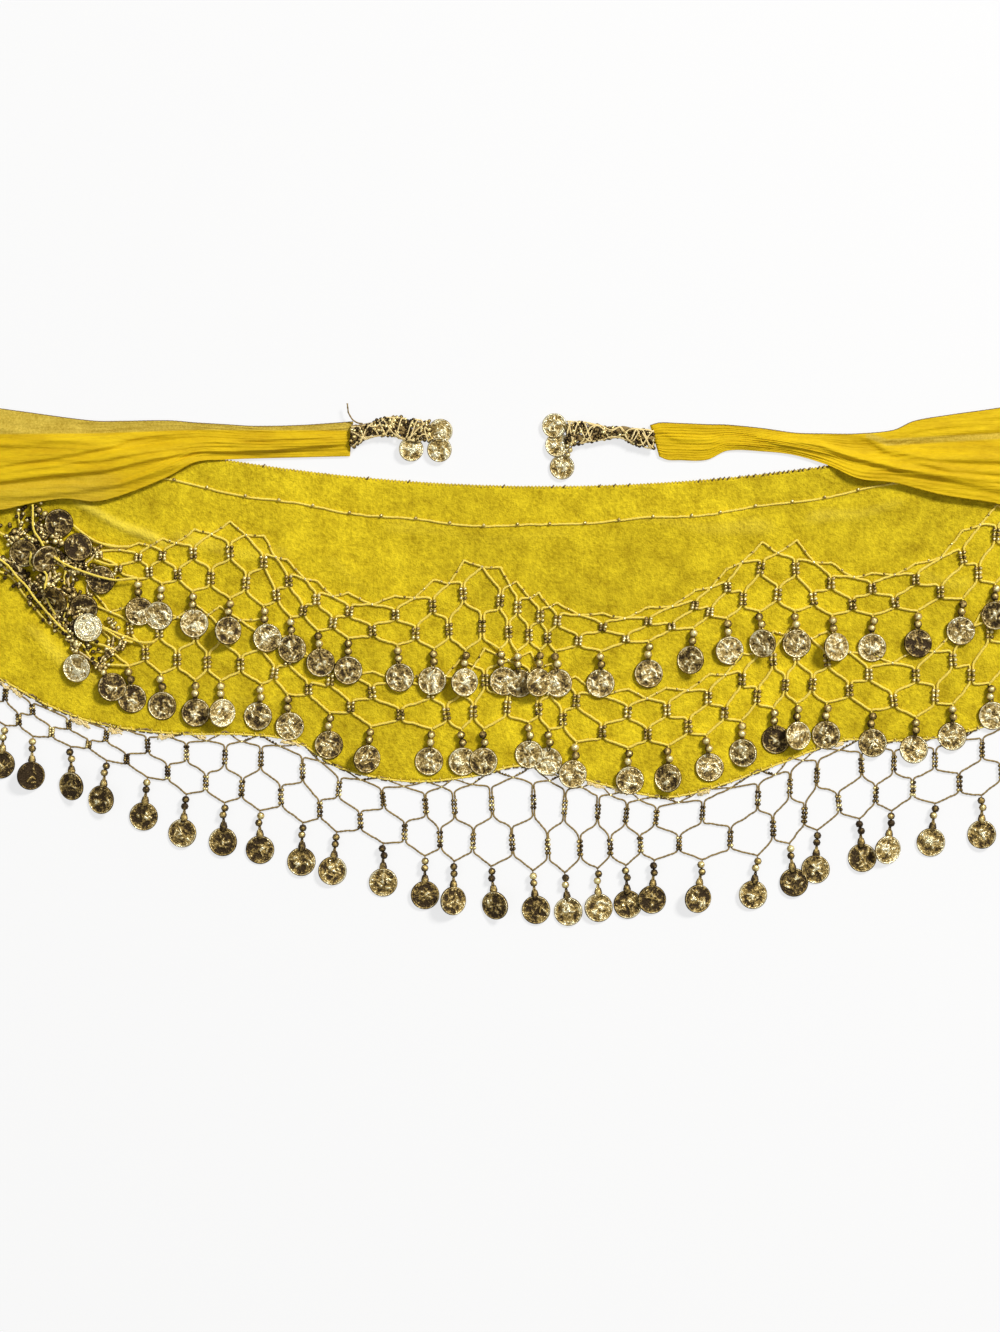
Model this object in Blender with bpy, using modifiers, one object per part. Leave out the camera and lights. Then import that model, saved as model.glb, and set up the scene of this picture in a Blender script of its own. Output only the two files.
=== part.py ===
"""Belly dance hip scarf, laid flat with its two ties folded back over it.

The panel is a crescent of velvet. Three rows of beaded thread net hang on it, each ending in a row
of coins on short bead drops. A tie of gathered chiffon runs on from each end of the panel, folds
back over it and ends in a bead tassel with three coins.

Metres, +Z up. The waist edge faces +Y, and the wearer's side of the panel rests on z = 0.
"""

import math
from bisect import bisect_right

import bmesh
import bpy

# Driving dimensions
HALF_LENGTH = 0.450       # from the middle of the panel to the seam with a tie
CLOTH = 0.0012            # thickness of velvet, chiffon and net
SEAM_GAP = 0.0003         # clearance between pieces that meet or lie on each other
WAIST_LOW = (0.028, 0.0910)  # x and y of the lowest point of the waist edge
WAIST_RISE = 0.073        # how much higher the waist edge is at the ends
COIN_RADIUS = 0.00825
COIN_THICKNESS = 0.0010
COIN_PITCH = 0.0235       # spacing of the coins along a row
DROP_WIDTH = 0.0044       # the pair of beads that a coin hangs on
DROP_LENGTH = 0.0100      # from the lowest thread of a net to the coin's top edge
HEADER = 0.0030           # height of the lowest thread and its knots, which carry the drops
NET_END = 0.430           # the nets stop this far from the middle
STATION = 0.010           # spacing of the points along a long edge
CORD_RADIUS = 0.0008      # cord stitched along the waist
FOLD_OUT = 0.020          # from the seam to the fold of a tie

# What lies on what: height of each layer's underside
ON_PANEL = CLOTH + SEAM_GAP
ON_MIDDLE_NET = ON_PANEL + CLOTH + SEAM_GAP
ON_UPPER_NET = ON_MIDDLE_NET + CLOTH + SEAM_GAP

# Hem of the panel, from left to right: x, y
HEM = [
    (-0.450, 0.101), (-0.430, 0.059), (-0.392, 0.022), (-0.345, -0.004), (-0.300, -0.024),
    (-0.273, -0.039), (-0.240, -0.051), (-0.193, -0.057), (-0.153, -0.0575), (-0.122, -0.062),
    (-0.097, -0.077), (-0.056, -0.0855), (-0.013, -0.082), (0.009, -0.0765), (0.030, -0.079),
    (0.064, -0.088), (0.099, -0.095), (0.130, -0.0885), (0.170, -0.074), (0.206, -0.061),
    (0.229, -0.0615), (0.264, -0.059), (0.300, -0.050), (0.348, -0.035), (0.392, -0.008),
    (0.430, 0.041), (0.450, 0.101),
]

# How far the waist cord lies below the waist edge: x, inset
WAIST_CORD_INSET = [
    (-0.440, 0.012), (-0.200, 0.018), (-0.150, 0.0195), (0.000, 0.024), (0.060, 0.0215),
    (0.120, 0.0205), (0.220, 0.0175), (0.440, 0.012),
]

# Top edges of the upper and middle nets, pinned up at each row: x, y, droop to the next pin
UPPER_SWAGS = [
    (-0.432, 0.130, 0.008), (-0.294, 0.080, 0.020), (-0.169, 0.0705, 0.002),
    (-0.148, 0.0695, 0.035), (-0.010, 0.0495, 0.037), (0.154, 0.0585, 0.002),
    (0.176, 0.0585, 0.028), (0.291, 0.0795, 0.012), (0.432, 0.130, 0.0),
]
MIDDLE_SWAGS = [
    (-0.432, 0.112, 0.004), (-0.270, 0.040, 0.008), (-0.170, 0.021, 0.001),
    (-0.150, 0.018, 0.027), (-0.002, -0.003, 0.001), (0.020, -0.008, 0.032),
    (0.170, 0.011, 0.001), (0.193, 0.006, 0.022), (0.291, 0.022, 0.004), (0.432, 0.104, 0.0),
]

# Lowest thread of each net, from left to right: x, y
UPPER_HEADER = [
    (-0.432, 0.108), (-0.330, 0.064), (-0.252, 0.048), (-0.217, 0.036), (-0.184, 0.028),
    (-0.142, 0.020), (-0.109, 0.005), (-0.062, -0.004), (0.025, -0.0075), (0.061, -0.0075),
    (0.089, -0.0015), (0.116, 0.006), (0.156, 0.0165), (0.224, 0.014), (0.278, 0.024),
    (0.340, 0.058), (0.432, 0.108),
]
MIDDLE_HEADER = [
    (-0.432, 0.091), (-0.345, 0.031), (-0.253, 0.003), (-0.222, -0.0165), (-0.183, -0.0245),
    (-0.143, -0.0275), (-0.102, -0.044), (-0.077, -0.0525), (-0.009, -0.0545),
    (0.018, -0.0505), (0.046, -0.0615), (0.090, -0.066), (0.124, -0.0575), (0.164, -0.042),
    (0.196, -0.0385), (0.250, -0.047), (0.293, -0.0275), (0.360, 0.016), (0.432, 0.091),
]
BOTTOM_HEADER = [
    (-0.432, 0.038), (-0.390, -0.008), (-0.345, -0.034), (-0.297, -0.055), (-0.236, -0.0755),
    (-0.188, -0.096), (-0.144, -0.1055), (-0.118, -0.1135), (-0.070, -0.1255),
    (-0.027, -0.1365), (0.038, -0.1425), (0.093, -0.136), (0.155, -0.1325), (0.190, -0.118),
    (0.235, -0.1055), (0.289, -0.0965), (0.345, -0.070), (0.392, -0.038), (0.432, 0.014),
]

# Ties, from the fold to the tassel: x, y of the upper edge, y of the lower edge
TIE_LEFT = [
    (-0.450, 0.171, 0.1015), (-0.400, 0.152, 0.085), (-0.345, 0.1435, 0.073),
    (-0.300, 0.1375, 0.0735), (-0.260, 0.132, 0.084), (-0.236, 0.130, 0.0855),
    (-0.205, 0.1305, 0.0925), (-0.193, 0.1305, 0.100), (-0.178, 0.129, 0.107),
    (-0.153, 0.127, 0.108), (-0.120, 0.1275, 0.109), (-0.088, 0.129, 0.110),
]
TIE_RIGHT = [
    (0.450, 0.1565, 0.1015), (0.400, 0.149, 0.087), (0.345, 0.143, 0.078),
    (0.300, 0.137, 0.080), (0.277, 0.135, 0.085), (0.251, 0.1315, 0.0915),
    (0.235, 0.126, 0.0935), (0.215, 0.1225, 0.0985), (0.184, 0.122, 0.1075),
    (0.164, 0.123, 0.111), (0.143, 0.126, 0.1115), (0.121, 0.129, 0.1075),
    (0.102, 0.1295, 0.1075), (0.091, 0.1275, 0.1085),
]

# Lengthwise pleats of a tie: place across it from 0 to 1, height, share of the width
PLEATS = [
    (0.13, 0.0022, 0.10), (0.34, 0.0030, 0.09), (0.56, 0.0024, 0.08), (0.80, 0.0028, 0.10),
]

# Bead tassels, from the tie outwards: x, y of the upper side, y of the lower side
TASSEL_LEFT = [
    (-0.0872, 0.126, 0.1125), (-0.0800, 0.1305, 0.1145), (-0.0740, 0.132, 0.119),
    (-0.0600, 0.131, 0.123), (-0.0460, 0.1305, 0.1235),
]
TASSEL_RIGHT = [
    (0.0902, 0.125, 0.1125), (0.0840, 0.126, 0.1125), (0.0700, 0.1275, 0.119),
    (0.0560, 0.129, 0.1165), (0.0440, 0.1315, 0.1155),
]
TASSEL_THICKNESS = 0.0050

# Coins at the ends of the tassels: node, x, y, height of the underside
TASSEL_COINS = [
    ("tassel_coin_left_1", -0.0350, 0.1235, 0.0),
    ("tassel_coin_left_2", -0.0360, 0.1125, COIN_THICKNESS + SEAM_GAP),
    ("tassel_coin_left_3", -0.0545, 0.1135, 0.0),
    ("tassel_coin_right_1", 0.0332, 0.127, 0.0),
    ("tassel_coin_right_2", 0.0344, 0.1165, COIN_THICKNESS + SEAM_GAP),
    ("tassel_coin_right_3", 0.0372, 0.1028, 0.0),
]


def start_empty_scene():
    """Remove the scene's objects and return a new collection for the scarf."""
    for thing in list(bpy.data.objects):
        bpy.data.objects.remove(thing, do_unlink=True)
    collection = bpy.data.collections.new("hip_scarf")
    bpy.context.scene.collection.children.link(collection)
    return collection


def make_material(name, colour, roughness, metallic):
    """A Principled material in one colour."""
    material = bpy.data.materials.new(name)
    material.use_nodes = True
    shader = material.node_tree.nodes["Principled BSDF"]
    shader.inputs["Base Color"].default_value = (*colour, 1.0)
    shader.inputs["Roughness"].default_value = roughness
    shader.inputs["Metallic"].default_value = metallic
    return material


def spread(first, last, step):
    """Evenly spaced numbers from first to last, about step apart."""
    count = max(1, round(abs(last - first) / step))
    return [first + (last - first) * i / count for i in range(count + 1)]


def smooth_line(stations):
    """The smooth curve y(x) through stations, which are (x, y) in order of x."""
    xs = [x for x, _ in stations]
    ys = [y for _, y in stations]
    last = len(stations) - 1
    slopes = []
    for i in range(last + 1):
        before, after = max(i - 1, 0), min(i + 1, last)
        slopes.append((ys[after] - ys[before]) / (xs[after] - xs[before]))

    def y_at(x):
        i = min(max(bisect_right(xs, x) - 1, 0), last - 1)
        span = xs[i + 1] - xs[i]
        t = min(max((x - xs[i]) / span, 0.0), 1.0)
        rise = t * t * (3 - 2 * t)
        leave = t * (1 - t) ** 2
        arrive = t * t * (t - 1)
        bend = span * (leave * slopes[i] + arrive * slopes[i + 1])
        return ys[i] * (1 - rise) + ys[i + 1] * rise + bend

    return y_at


def swag_line(swags):
    """The line y(x) pinned at each row of swags, with a parabola hanging between two pins."""
    xs = [x for x, _, _ in swags]

    def y_at(x):
        i = min(max(bisect_right(xs, x) - 1, 0), len(swags) - 2)
        x0, y0, droop = swags[i]
        x1, y1, _ = swags[i + 1]
        t = min(max((x - x0) / (x1 - x0), 0.0), 1.0)
        return y0 + (y1 - y0) * t - 4 * droop * t * (1 - t)

    return y_at


def waist_line(x):
    """The waist edge: low in the middle and easing upwards to the ends."""
    low_x, low_y = WAIST_LOW
    return low_y + WAIST_RISE * (1 - math.cos(math.pi / 2 * (x - low_x) / HALF_LENGTH))


hem_line = smooth_line(HEM)


def clear_below(line, x):
    """Height of a point just clear of a line above it, measured square to the line."""
    step = STATION / 2
    slope = (line(x + step) - line(x - step)) / (2 * step)
    return line(x) - SEAM_GAP * math.hypot(1.0, slope)


def ease(t):
    """A step from 0 to 1 with soft ends."""
    t = min(max(t, 0.0), 1.0)
    return t * t * (3 - 2 * t)


def add_flat_piece(name, outline, underside, thickness, material, collection):
    """A flat piece with this outline of (x, y) points, from underside upwards."""
    curve = bpy.data.curves.new(name, "CURVE")
    curve.dimensions = "2D"
    curve.fill_mode = "BOTH"
    curve.extrude = thickness / 2
    spline = curve.splines.new("POLY")
    spline.points.add(len(outline) - 1)
    for point, (x, y) in zip(spline.points, outline):
        point.co = (x, y, 0.0, 1.0)
    spline.use_cyclic_u = True
    curve.materials.append(material)
    piece = bpy.data.objects.new(name, curve)
    piece.location.z = underside + thickness / 2
    collection.objects.link(piece)
    return piece


def add_shell(name, rows, material, collection):
    """A cloth wall around the middle surface through rows of points."""
    mesh = bmesh.new()
    grid = [[mesh.verts.new(point) for point in row] for row in rows]
    for near, far in zip(grid, grid[1:]):
        for i in range(len(near) - 1):
            mesh.faces.new((near[i], near[i + 1], far[i + 1], far[i]))
    bmesh.ops.recalc_face_normals(mesh, faces=mesh.faces[:])
    data = bpy.data.meshes.new(name)
    mesh.to_mesh(data)
    mesh.free()
    data.materials.append(material)
    piece = bpy.data.objects.new(name, data)
    collection.objects.link(piece)
    solidify = piece.modifiers.new("Cloth", "SOLIDIFY")
    solidify.thickness = CLOTH
    solidify.offset = 0.0
    return piece


def build_panel(material, collection):
    """The velvet crescent between the waist edge and the hem."""
    stations = spread(-HALF_LENGTH, HALF_LENGTH, STATION)
    waist = [(x, waist_line(x)) for x in stations]
    hem = [(x, hem_line(x)) for x in reversed(stations)]
    return add_flat_piece("panel", waist + hem, 0.0, CLOTH, material, collection)


def build_waist_cord(material, collection):
    """The cord stitched on the panel below the waist edge."""
    inset = smooth_line(WAIST_CORD_INSET)
    curve = bpy.data.curves.new("waist_cord", "CURVE")
    curve.dimensions = "3D"
    curve.bevel_depth = CORD_RADIUS
    curve.bevel_resolution = 1
    curve.use_fill_caps = True
    route = spread(WAIST_CORD_INSET[0][0], WAIST_CORD_INSET[-1][0], 0.020)
    spline = curve.splines.new("POLY")
    spline.points.add(len(route) - 1)
    for point, x in zip(spline.points, route):
        point.co = (x, waist_line(x) - inset(x), ON_PANEL + CORD_RADIUS, 1.0)
    curve.materials.append(material)
    piece = bpy.data.objects.new("waist_cord", curve)
    collection.objects.link(piece)
    return piece


def below_hem(x):
    """Top edge of the bottom net, just clear of the hem."""
    return clear_below(hem_line, x)


def build_net(name, top, bottom, underside, material, collection):
    """A net as a plain wall between its top edge and its lowest thread."""
    stations = spread(-NET_END, NET_END, STATION)
    upper = [(x, top(x)) for x in stations]
    lower = [(x, bottom(x)) for x in reversed(stations)]
    return add_flat_piece(name, upper + lower, underside, CLOTH, material, collection)


def coin_drop(x, thread):
    """Outline of one coin on its bead drop, hanging from the thread at x, right side first."""
    half = DROP_WIDTH / 2
    centre = thread(x) - HEADER - DROP_LENGTH - COIN_RADIUS
    neck = math.asin(half / COIN_RADIUS)
    sides = 9
    outline = [(x + half, thread(x + half) - HEADER)]
    for i in range(sides + 1):
        turn = neck + (2 * math.pi - 2 * neck) * i / sides
        outline.append((x + COIN_RADIUS * math.sin(turn), centre + COIN_RADIUS * math.cos(turn)))
    outline.append((x - half, thread(x - half) - HEADER))
    return outline


def build_coin_row(name, thread, underside, material, collection):
    """The lowest thread of a net with its row of coins, as one comb-shaped piece."""
    ends = NET_END - COIN_RADIUS
    outline = [(x, clear_below(thread, x)) for x in spread(-NET_END, NET_END, STATION)]
    outline.append((NET_END, thread(NET_END) - HEADER))
    places = spread(ends, -ends, COIN_PITCH)
    for x, following in zip(places, places[1:] + [-NET_END]):
        outline += coin_drop(x, thread)
        between = (x + following) / 2
        outline.append((between, thread(between) - HEADER))
    outline.append((-NET_END, thread(-NET_END) - HEADER))
    return add_flat_piece(name, outline, underside, CLOTH, material, collection)


def tie_height(x, y):
    """Height of a tie's middle surface: over the panel and nets, then down onto the floor."""
    over_panel = ON_UPPER_NET + CLOTH / 2
    on_floor = SEAM_GAP + CLOTH / 2
    if abs(x) >= HALF_LENGTH:
        return over_panel
    past_waist = y - waist_line(x) - 0.001
    return over_panel + (on_floor - over_panel) * ease(past_waist / 0.010)


def pleat_height(across, width):
    """How far the pleats lift a tie at this place across it, less where it is narrow."""
    height = 0.0
    for place, rise, share in PLEATS:
        height += rise * math.exp(-((across - place) / share) ** 2)
    return height * min(1.0, width / 0.045)


def build_tie(name, stations, material, collection):
    """A chiffon tie: out from the seam, up round the fold, and back over the panel."""
    side = math.copysign(1.0, stations[0][0])
    by_reach = sorted((abs(x), upper, lower) for x, upper, lower in stations)
    upper_edge = smooth_line([(x, upper) for x, upper, _ in by_reach])
    lower_edge = smooth_line([(x, lower) for x, _, lower in by_reach])
    places = [i / 14 for i in range(15)]
    fold = HALF_LENGTH + FOLD_OUT
    bottom = CLOTH / 2
    top = tie_height(fold, 0.0)
    bend = (top - bottom) / 2

    path = [(reach, bottom, 0.0) for reach in (HALF_LENGTH + SEAM_GAP, HALF_LENGTH + 0.010, fold)]
    for i in range(1, 6):
        turn = math.pi * i / 6
        path.append((fold + bend * math.sin(turn), bottom + bend * (1 - math.cos(turn)), 0.0))
    for reach in spread(fold, by_reach[0][0], 0.010):
        path.append((reach, None, ease((fold - reach) / 0.030)))

    rows = []
    for reach, height, pleated in path:
        y_upper, y_lower = upper_edge(reach), lower_edge(reach)
        row = []
        for place in places:
            y = y_upper + (y_lower - y_upper) * place
            z = height
            if z is None:
                z = tie_height(reach * side, y)
            z += pleated * pleat_height(place, y_upper - y_lower)
            row.append((reach * side, y, z))
        rows.append(row)
    return add_shell(name, rows, material, collection)


def build_tassel(name, stations, material, collection):
    """A bead tassel as one plain solid of the bunch's outline."""
    upper = [(x, y) for x, y, _ in stations]
    lower = [(x, y) for x, _, y in reversed(stations)]
    outline = upper + lower
    return add_flat_piece(name, outline, 0.0, TASSEL_THICKNESS, material, collection)


def build_tassel_coin(name, x, y, underside, material, collection):
    """A coin lying flat."""
    bpy.ops.mesh.primitive_cylinder_add(
        vertices=20, radius=COIN_RADIUS, depth=COIN_THICKNESS,
        location=(x, y, underside + COIN_THICKNESS / 2),
    )
    coin = bpy.context.object
    coin.name = name
    coin.data.name = name
    coin.data.materials.append(material)
    for home in list(coin.users_collection):
        home.objects.unlink(coin)
    collection.objects.link(coin)
    return coin


def build_scarf():
    """Make every piece of the scarf."""
    scarf = start_empty_scene()
    velvet = make_material("golden_velvet", (0.49, 0.36, 0.012), 0.85, 0.0)
    chiffon = make_material("golden_chiffon", (0.62, 0.40, 0.006), 0.6, 0.0)
    thread = make_material("yellow_thread", (0.70, 0.50, 0.10), 0.7, 0.0)
    brass = make_material("antique_brass", (0.45, 0.33, 0.15), 0.4, 1.0)

    upper_thread = smooth_line(UPPER_HEADER)
    middle_thread = smooth_line(MIDDLE_HEADER)
    bottom_thread = smooth_line(BOTTOM_HEADER)

    build_panel(velvet, scarf)
    build_waist_cord(thread, scarf)
    build_net("upper_net", swag_line(UPPER_SWAGS), upper_thread, ON_MIDDLE_NET, thread, scarf)
    build_net("middle_net", swag_line(MIDDLE_SWAGS), middle_thread, ON_PANEL, thread, scarf)
    build_net("bottom_net", below_hem, bottom_thread, 0.0, thread, scarf)
    build_coin_row("upper_coins", upper_thread, ON_MIDDLE_NET, brass, scarf)
    build_coin_row("middle_coins", middle_thread, ON_PANEL, brass, scarf)
    build_coin_row("bottom_coins", bottom_thread, 0.0, brass, scarf)
    build_tie("tie_left", TIE_LEFT, chiffon, scarf)
    build_tie("tie_right", TIE_RIGHT, chiffon, scarf)
    build_tassel("tassel_left", TASSEL_LEFT, brass, scarf)
    build_tassel("tassel_right", TASSEL_RIGHT, brass, scarf)
    for name, x, y, underside in TASSEL_COINS:
        build_tassel_coin(name, x, y, underside, brass, scarf)


build_scarf()
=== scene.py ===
# %% [markdown]
# # Belly dance hip scarf
#
# A hip scarf is a crescent of velvet with rows of beaded net sewn on it. Each net ends in a row of
# stamped coins that ring when the dancer moves, and a chiffon tie at each end knots on the hip.
# Here it lies flat, beaded side up, with both ties folded back over it.
#
# The script loads the plain model as a fixed frame, and builds each piece's real surface around it.

# %% Load the frame
import math
from bisect import bisect_right

import bpy
import numpy as np
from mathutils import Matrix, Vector


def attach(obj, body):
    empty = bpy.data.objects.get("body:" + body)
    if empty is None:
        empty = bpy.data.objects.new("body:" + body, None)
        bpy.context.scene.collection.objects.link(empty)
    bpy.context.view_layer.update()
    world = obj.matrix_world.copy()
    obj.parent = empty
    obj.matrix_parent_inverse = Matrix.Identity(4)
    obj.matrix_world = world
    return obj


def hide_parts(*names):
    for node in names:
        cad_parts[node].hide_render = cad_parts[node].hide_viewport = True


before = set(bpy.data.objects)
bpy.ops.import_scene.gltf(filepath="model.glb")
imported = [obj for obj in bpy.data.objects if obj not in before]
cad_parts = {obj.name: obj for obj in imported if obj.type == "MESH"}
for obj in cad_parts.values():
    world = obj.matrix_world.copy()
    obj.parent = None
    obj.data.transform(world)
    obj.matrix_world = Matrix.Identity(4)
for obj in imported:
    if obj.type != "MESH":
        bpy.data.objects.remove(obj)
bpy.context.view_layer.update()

# %% [markdown]
# ## Sizes of the scarf
#
# A few sizes drive all the rest: the half length between the two seams of the ties, the thickness
# of the cloth, the curve of the waist, and the coins with their pitch along a row.

# %% Driving sizes
HALF_LENGTH = 0.450
CLOTH = 0.0012
WAIST_LOW = (0.028, 0.0910)
WAIST_RISE = 0.073
COIN_RADIUS = 0.0086
COIN_PITCH = 0.0225
NET_END = 0.426
FOLD_OUT = 0.020
print("velvet from seam to seam", 2 * HALF_LENGTH)

# %% [markdown]
# ## Edges
#
# Every edge of the scarf is a line y(x) in metres, so each one is a short table of places. The
# frame has the same edges, so the cloth made here lies exactly in its space.

# %% Places along the edges
# Hem of the panel: x, y
HEM = [
    (-0.450, 0.101), (-0.430, 0.059), (-0.392, 0.022), (-0.345, -0.004), (-0.300, -0.024),
    (-0.273, -0.039), (-0.240, -0.051), (-0.193, -0.057), (-0.153, -0.0575), (-0.122, -0.062),
    (-0.097, -0.077), (-0.056, -0.0855), (-0.013, -0.082), (0.009, -0.0765), (0.030, -0.079),
    (0.064, -0.088), (0.099, -0.095), (0.130, -0.0885), (0.170, -0.074), (0.206, -0.061),
    (0.229, -0.0615), (0.264, -0.059), (0.300, -0.050), (0.348, -0.035), (0.392, -0.008),
    (0.430, 0.041), (0.450, 0.101),
]

# Top edges of the two nets on the panel, pinned up at each row: x, y, droop to the next pin
UPPER_SWAGS = [
    (-0.432, 0.126, 0.004), (-0.290, 0.0765, 0.001), (-0.230, 0.055, 0.002),
    (-0.169, 0.0705, 0.001), (-0.148, 0.0695, 0.037), (-0.014, 0.0545, 0.041),
    (0.154, 0.0585, 0.001), (0.177, 0.0585, 0.028), (0.291, 0.0795, 0.008),
    (0.432, 0.130, 0.0),
]
MIDDLE_SWAGS = [
    (-0.432, 0.112, 0.004), (-0.278, 0.066, 0.000), (-0.257, 0.046, 0.000),
    (-0.240, 0.022, 0.002), (-0.170, 0.021, 0.001), (-0.150, 0.018, 0.027),
    (-0.002, -0.003, 0.001), (0.020, -0.008, 0.032), (0.170, 0.011, 0.001),
    (0.193, 0.006, 0.022), (0.291, 0.022, 0.004), (0.432, 0.104, 0.0),
]

# Lowest thread of each net: x, y
UPPER_HEADER = [
    (-0.432, 0.108), (-0.300, 0.0710), (-0.279, 0.064), (-0.264, 0.052), (-0.243, 0.039),
    (-0.217, 0.036), (-0.184, 0.028), (-0.142, 0.020), (-0.109, 0.005), (-0.062, -0.004),
    (0.025, -0.0075), (0.061, -0.0075), (0.089, -0.0015), (0.116, 0.006), (0.156, 0.0165),
    (0.224, 0.014), (0.278, 0.024), (0.340, 0.058), (0.432, 0.108),
]
MIDDLE_HEADER = [
    (-0.432, 0.091), (-0.300, 0.050), (-0.285, 0.034), (-0.270, 0.018), (-0.253, -0.003),
    (-0.240, -0.010), (-0.222, -0.0165), (-0.183, -0.0245), (-0.143, -0.0275),
    (-0.102, -0.044), (-0.077, -0.0525), (-0.009, -0.0545), (0.018, -0.0505),
    (0.046, -0.0615), (0.090, -0.066), (0.124, -0.0575), (0.164, -0.042), (0.196, -0.0385),
    (0.250, -0.047), (0.293, -0.0275), (0.360, 0.016), (0.432, 0.091),
]
BOTTOM_HEADER = [
    (-0.432, 0.038), (-0.390, -0.008), (-0.345, -0.034), (-0.297, -0.055), (-0.236, -0.0755),
    (-0.188, -0.096), (-0.144, -0.1055), (-0.118, -0.1135), (-0.070, -0.1255),
    (-0.027, -0.1365), (0.038, -0.1425), (0.093, -0.136), (0.155, -0.1325), (0.190, -0.118),
    (0.235, -0.1055), (0.289, -0.0965), (0.345, -0.070), (0.392, -0.038), (0.432, 0.014),
]
print("hem runs through", len(HEM), "places")

# %% [markdown]
# ## Lines through the places
#
# A cut edge is a smooth curve through its places. The top of a net is pinned at some places and
# hangs between them, and a parabola is close enough to a hanging thread.

# %% Smooth and hanging lines
def smooth_line(stations):
    """The smooth curve y(x) through stations, which are (x, y) in order of x."""
    xs = [x for x, _ in stations]
    ys = [y for _, y in stations]
    last = len(stations) - 1
    slopes = []
    for i in range(last + 1):
        before, after = max(i - 1, 0), min(i + 1, last)
        slopes.append((ys[after] - ys[before]) / (xs[after] - xs[before]))

    def y_at(x):
        i = min(max(bisect_right(xs, x) - 1, 0), last - 1)
        span = xs[i + 1] - xs[i]
        t = min(max((x - xs[i]) / span, 0.0), 1.0)
        rise = t * t * (3 - 2 * t)
        bend = span * (t * (1 - t) ** 2 * slopes[i] + t * t * (t - 1) * slopes[i + 1])
        return ys[i] * (1 - rise) + ys[i + 1] * rise + bend

    return y_at


def swag_line(swags):
    """The line y(x) pinned at each row of swags, with a parabola hanging between two pins."""
    xs = [x for x, _, _ in swags]

    def y_at(x):
        i = min(max(bisect_right(xs, x) - 1, 0), len(swags) - 2)
        x0, y0, droop = swags[i]
        x1, y1, _ = swags[i + 1]
        t = min(max((x - x0) / (x1 - x0), 0.0), 1.0)
        return y0 + (y1 - y0) * t - 4 * droop * t * (1 - t)

    return y_at


def waist_line(x):
    """The waist edge: low in the middle and easing upwards to the ends."""
    low_x, low_y = WAIST_LOW
    return low_y + WAIST_RISE * (1 - math.cos(math.pi / 2 * (x - low_x) / HALF_LENGTH))


hem_line = smooth_line(HEM)


def ease(t):
    """A step from 0 to 1 with soft ends."""
    t = min(max(t, 0.0), 1.0)
    return t * t * (3 - 2 * t)


print("panel depth at the middle", round(waist_line(0) - hem_line(0), 3))

# %% [markdown]
# ## Camera
#
# The scarf is seen from straight above, as it is when it is laid out for sale. A long lens keeps
# the coins round. The camera's height follows from its lens and the height of the view.

# %% Camera
VIEW_WIDTH = 0.600
VIEW_HEIGHT = 0.7992
VIEW_CENTRE = (0.0, -0.0166)
LENS = 85.0
SENSOR = 36.0

camera_data = bpy.data.cameras.new("camera")
camera_data.lens = LENS
camera_data.sensor_width = SENSOR
camera_data.sensor_fit = "AUTO"
camera = bpy.data.objects.new("camera", camera_data)
camera.location = (*VIEW_CENTRE, VIEW_HEIGHT * LENS / SENSOR)
bpy.context.scene.collection.objects.link(camera)
bpy.context.scene.camera = camera
print("camera height", round(camera.location.z, 3))

# %% [markdown]
# ## Light and floor
#
# The key light is a soft box high on the right, so every bead and fold throws a short shadow down
# and to the left. A large weak one and the pale surroundings fill the rest. The floor glows a
# little, as a backdrop lit from behind does, so it comes out white.


# %% Lights and surroundings
def soft_box(name, place, aim, size, power, colour):
    """An area light at place, facing aim."""
    data = bpy.data.lights.new(name, "AREA")
    data.shape = "SQUARE"
    data.size = size
    data.energy = power
    data.color = colour
    light = bpy.data.objects.new(name, data)
    light.location = place
    light.rotation_euler = (Vector(aim) - Vector(place)).to_track_quat("-Z", "Y").to_euler()
    bpy.context.scene.collection.objects.link(light)


soft_box("key", (3.2, 3.2, 3.9), (0, 0, 0), 1.3, 415.0, (1.0, 0.98, 0.95))
soft_box("fill", (-3.6, -1.8, 5.7), (0, 0, 0), 4.8, 45.0, (0.96, 0.98, 1.0))

world = bpy.data.worlds.new("studio")
world.use_nodes = True
world.node_tree.nodes["Background"].inputs["Color"].default_value = (0.95, 0.97, 1.0, 1.0)
world.node_tree.nodes["Background"].inputs["Strength"].default_value = 0.30
bpy.context.scene.world = world
bpy.context.scene.view_settings.view_transform = "Standard"

FLOOR_SIDE = 12.0
FLOOR_GLOW = 0.722
bpy.ops.mesh.primitive_plane_add(size=FLOOR_SIDE, location=(0, 0, -0.0002))
floor = bpy.context.object
floor.name = "floor"
floor_paint = bpy.data.materials.new("floor_paint")
floor_paint.use_nodes = True
floor_shader = floor_paint.node_tree.nodes["Principled BSDF"]
floor_shader.inputs["Base Color"].default_value = (0.22, 0.22, 0.22, 1)
floor_shader.inputs["Roughness"].default_value = 0.9
floor_shader.inputs["Specular IOR Level"].default_value = 0.0
floor_shader.inputs["Emission Color"].default_value = (1.0, 1.0, 1.0, 1)
floor_shader.inputs["Emission Strength"].default_value = FLOOR_GLOW
floor.data.materials.append(floor_paint)
print("floor and lights ready")

# %% [markdown]
# ## Shared surface effects
# Two effects come up in several materials, so each is a shader node group. Mottle breaks a colour
# into soft lighter and darker clouds with a fine speckle on top, as light does on nap and on
# gathered cloth. Tarnish darkens the low places of a stamped or cast surface and leaves the high
# places bright, as rubbing does on antique brass. It also carries painted light: a painted
# highlight on the top of each bead with painted shade on its sides, and painted shade on the
# outermost ring of each coin.


# %% Node helpers
def feed(tree, node, inputs):
    """Give a node's inputs a number, an (r, g, b) or what another node puts out."""
    for label, value in inputs.items():
        if isinstance(value, bpy.types.NodeSocket):
            tree.links.new(value, node.inputs[label])
        else:
            node.inputs[label].default_value = (*value, 1.0) if isinstance(value, tuple) else value


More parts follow.
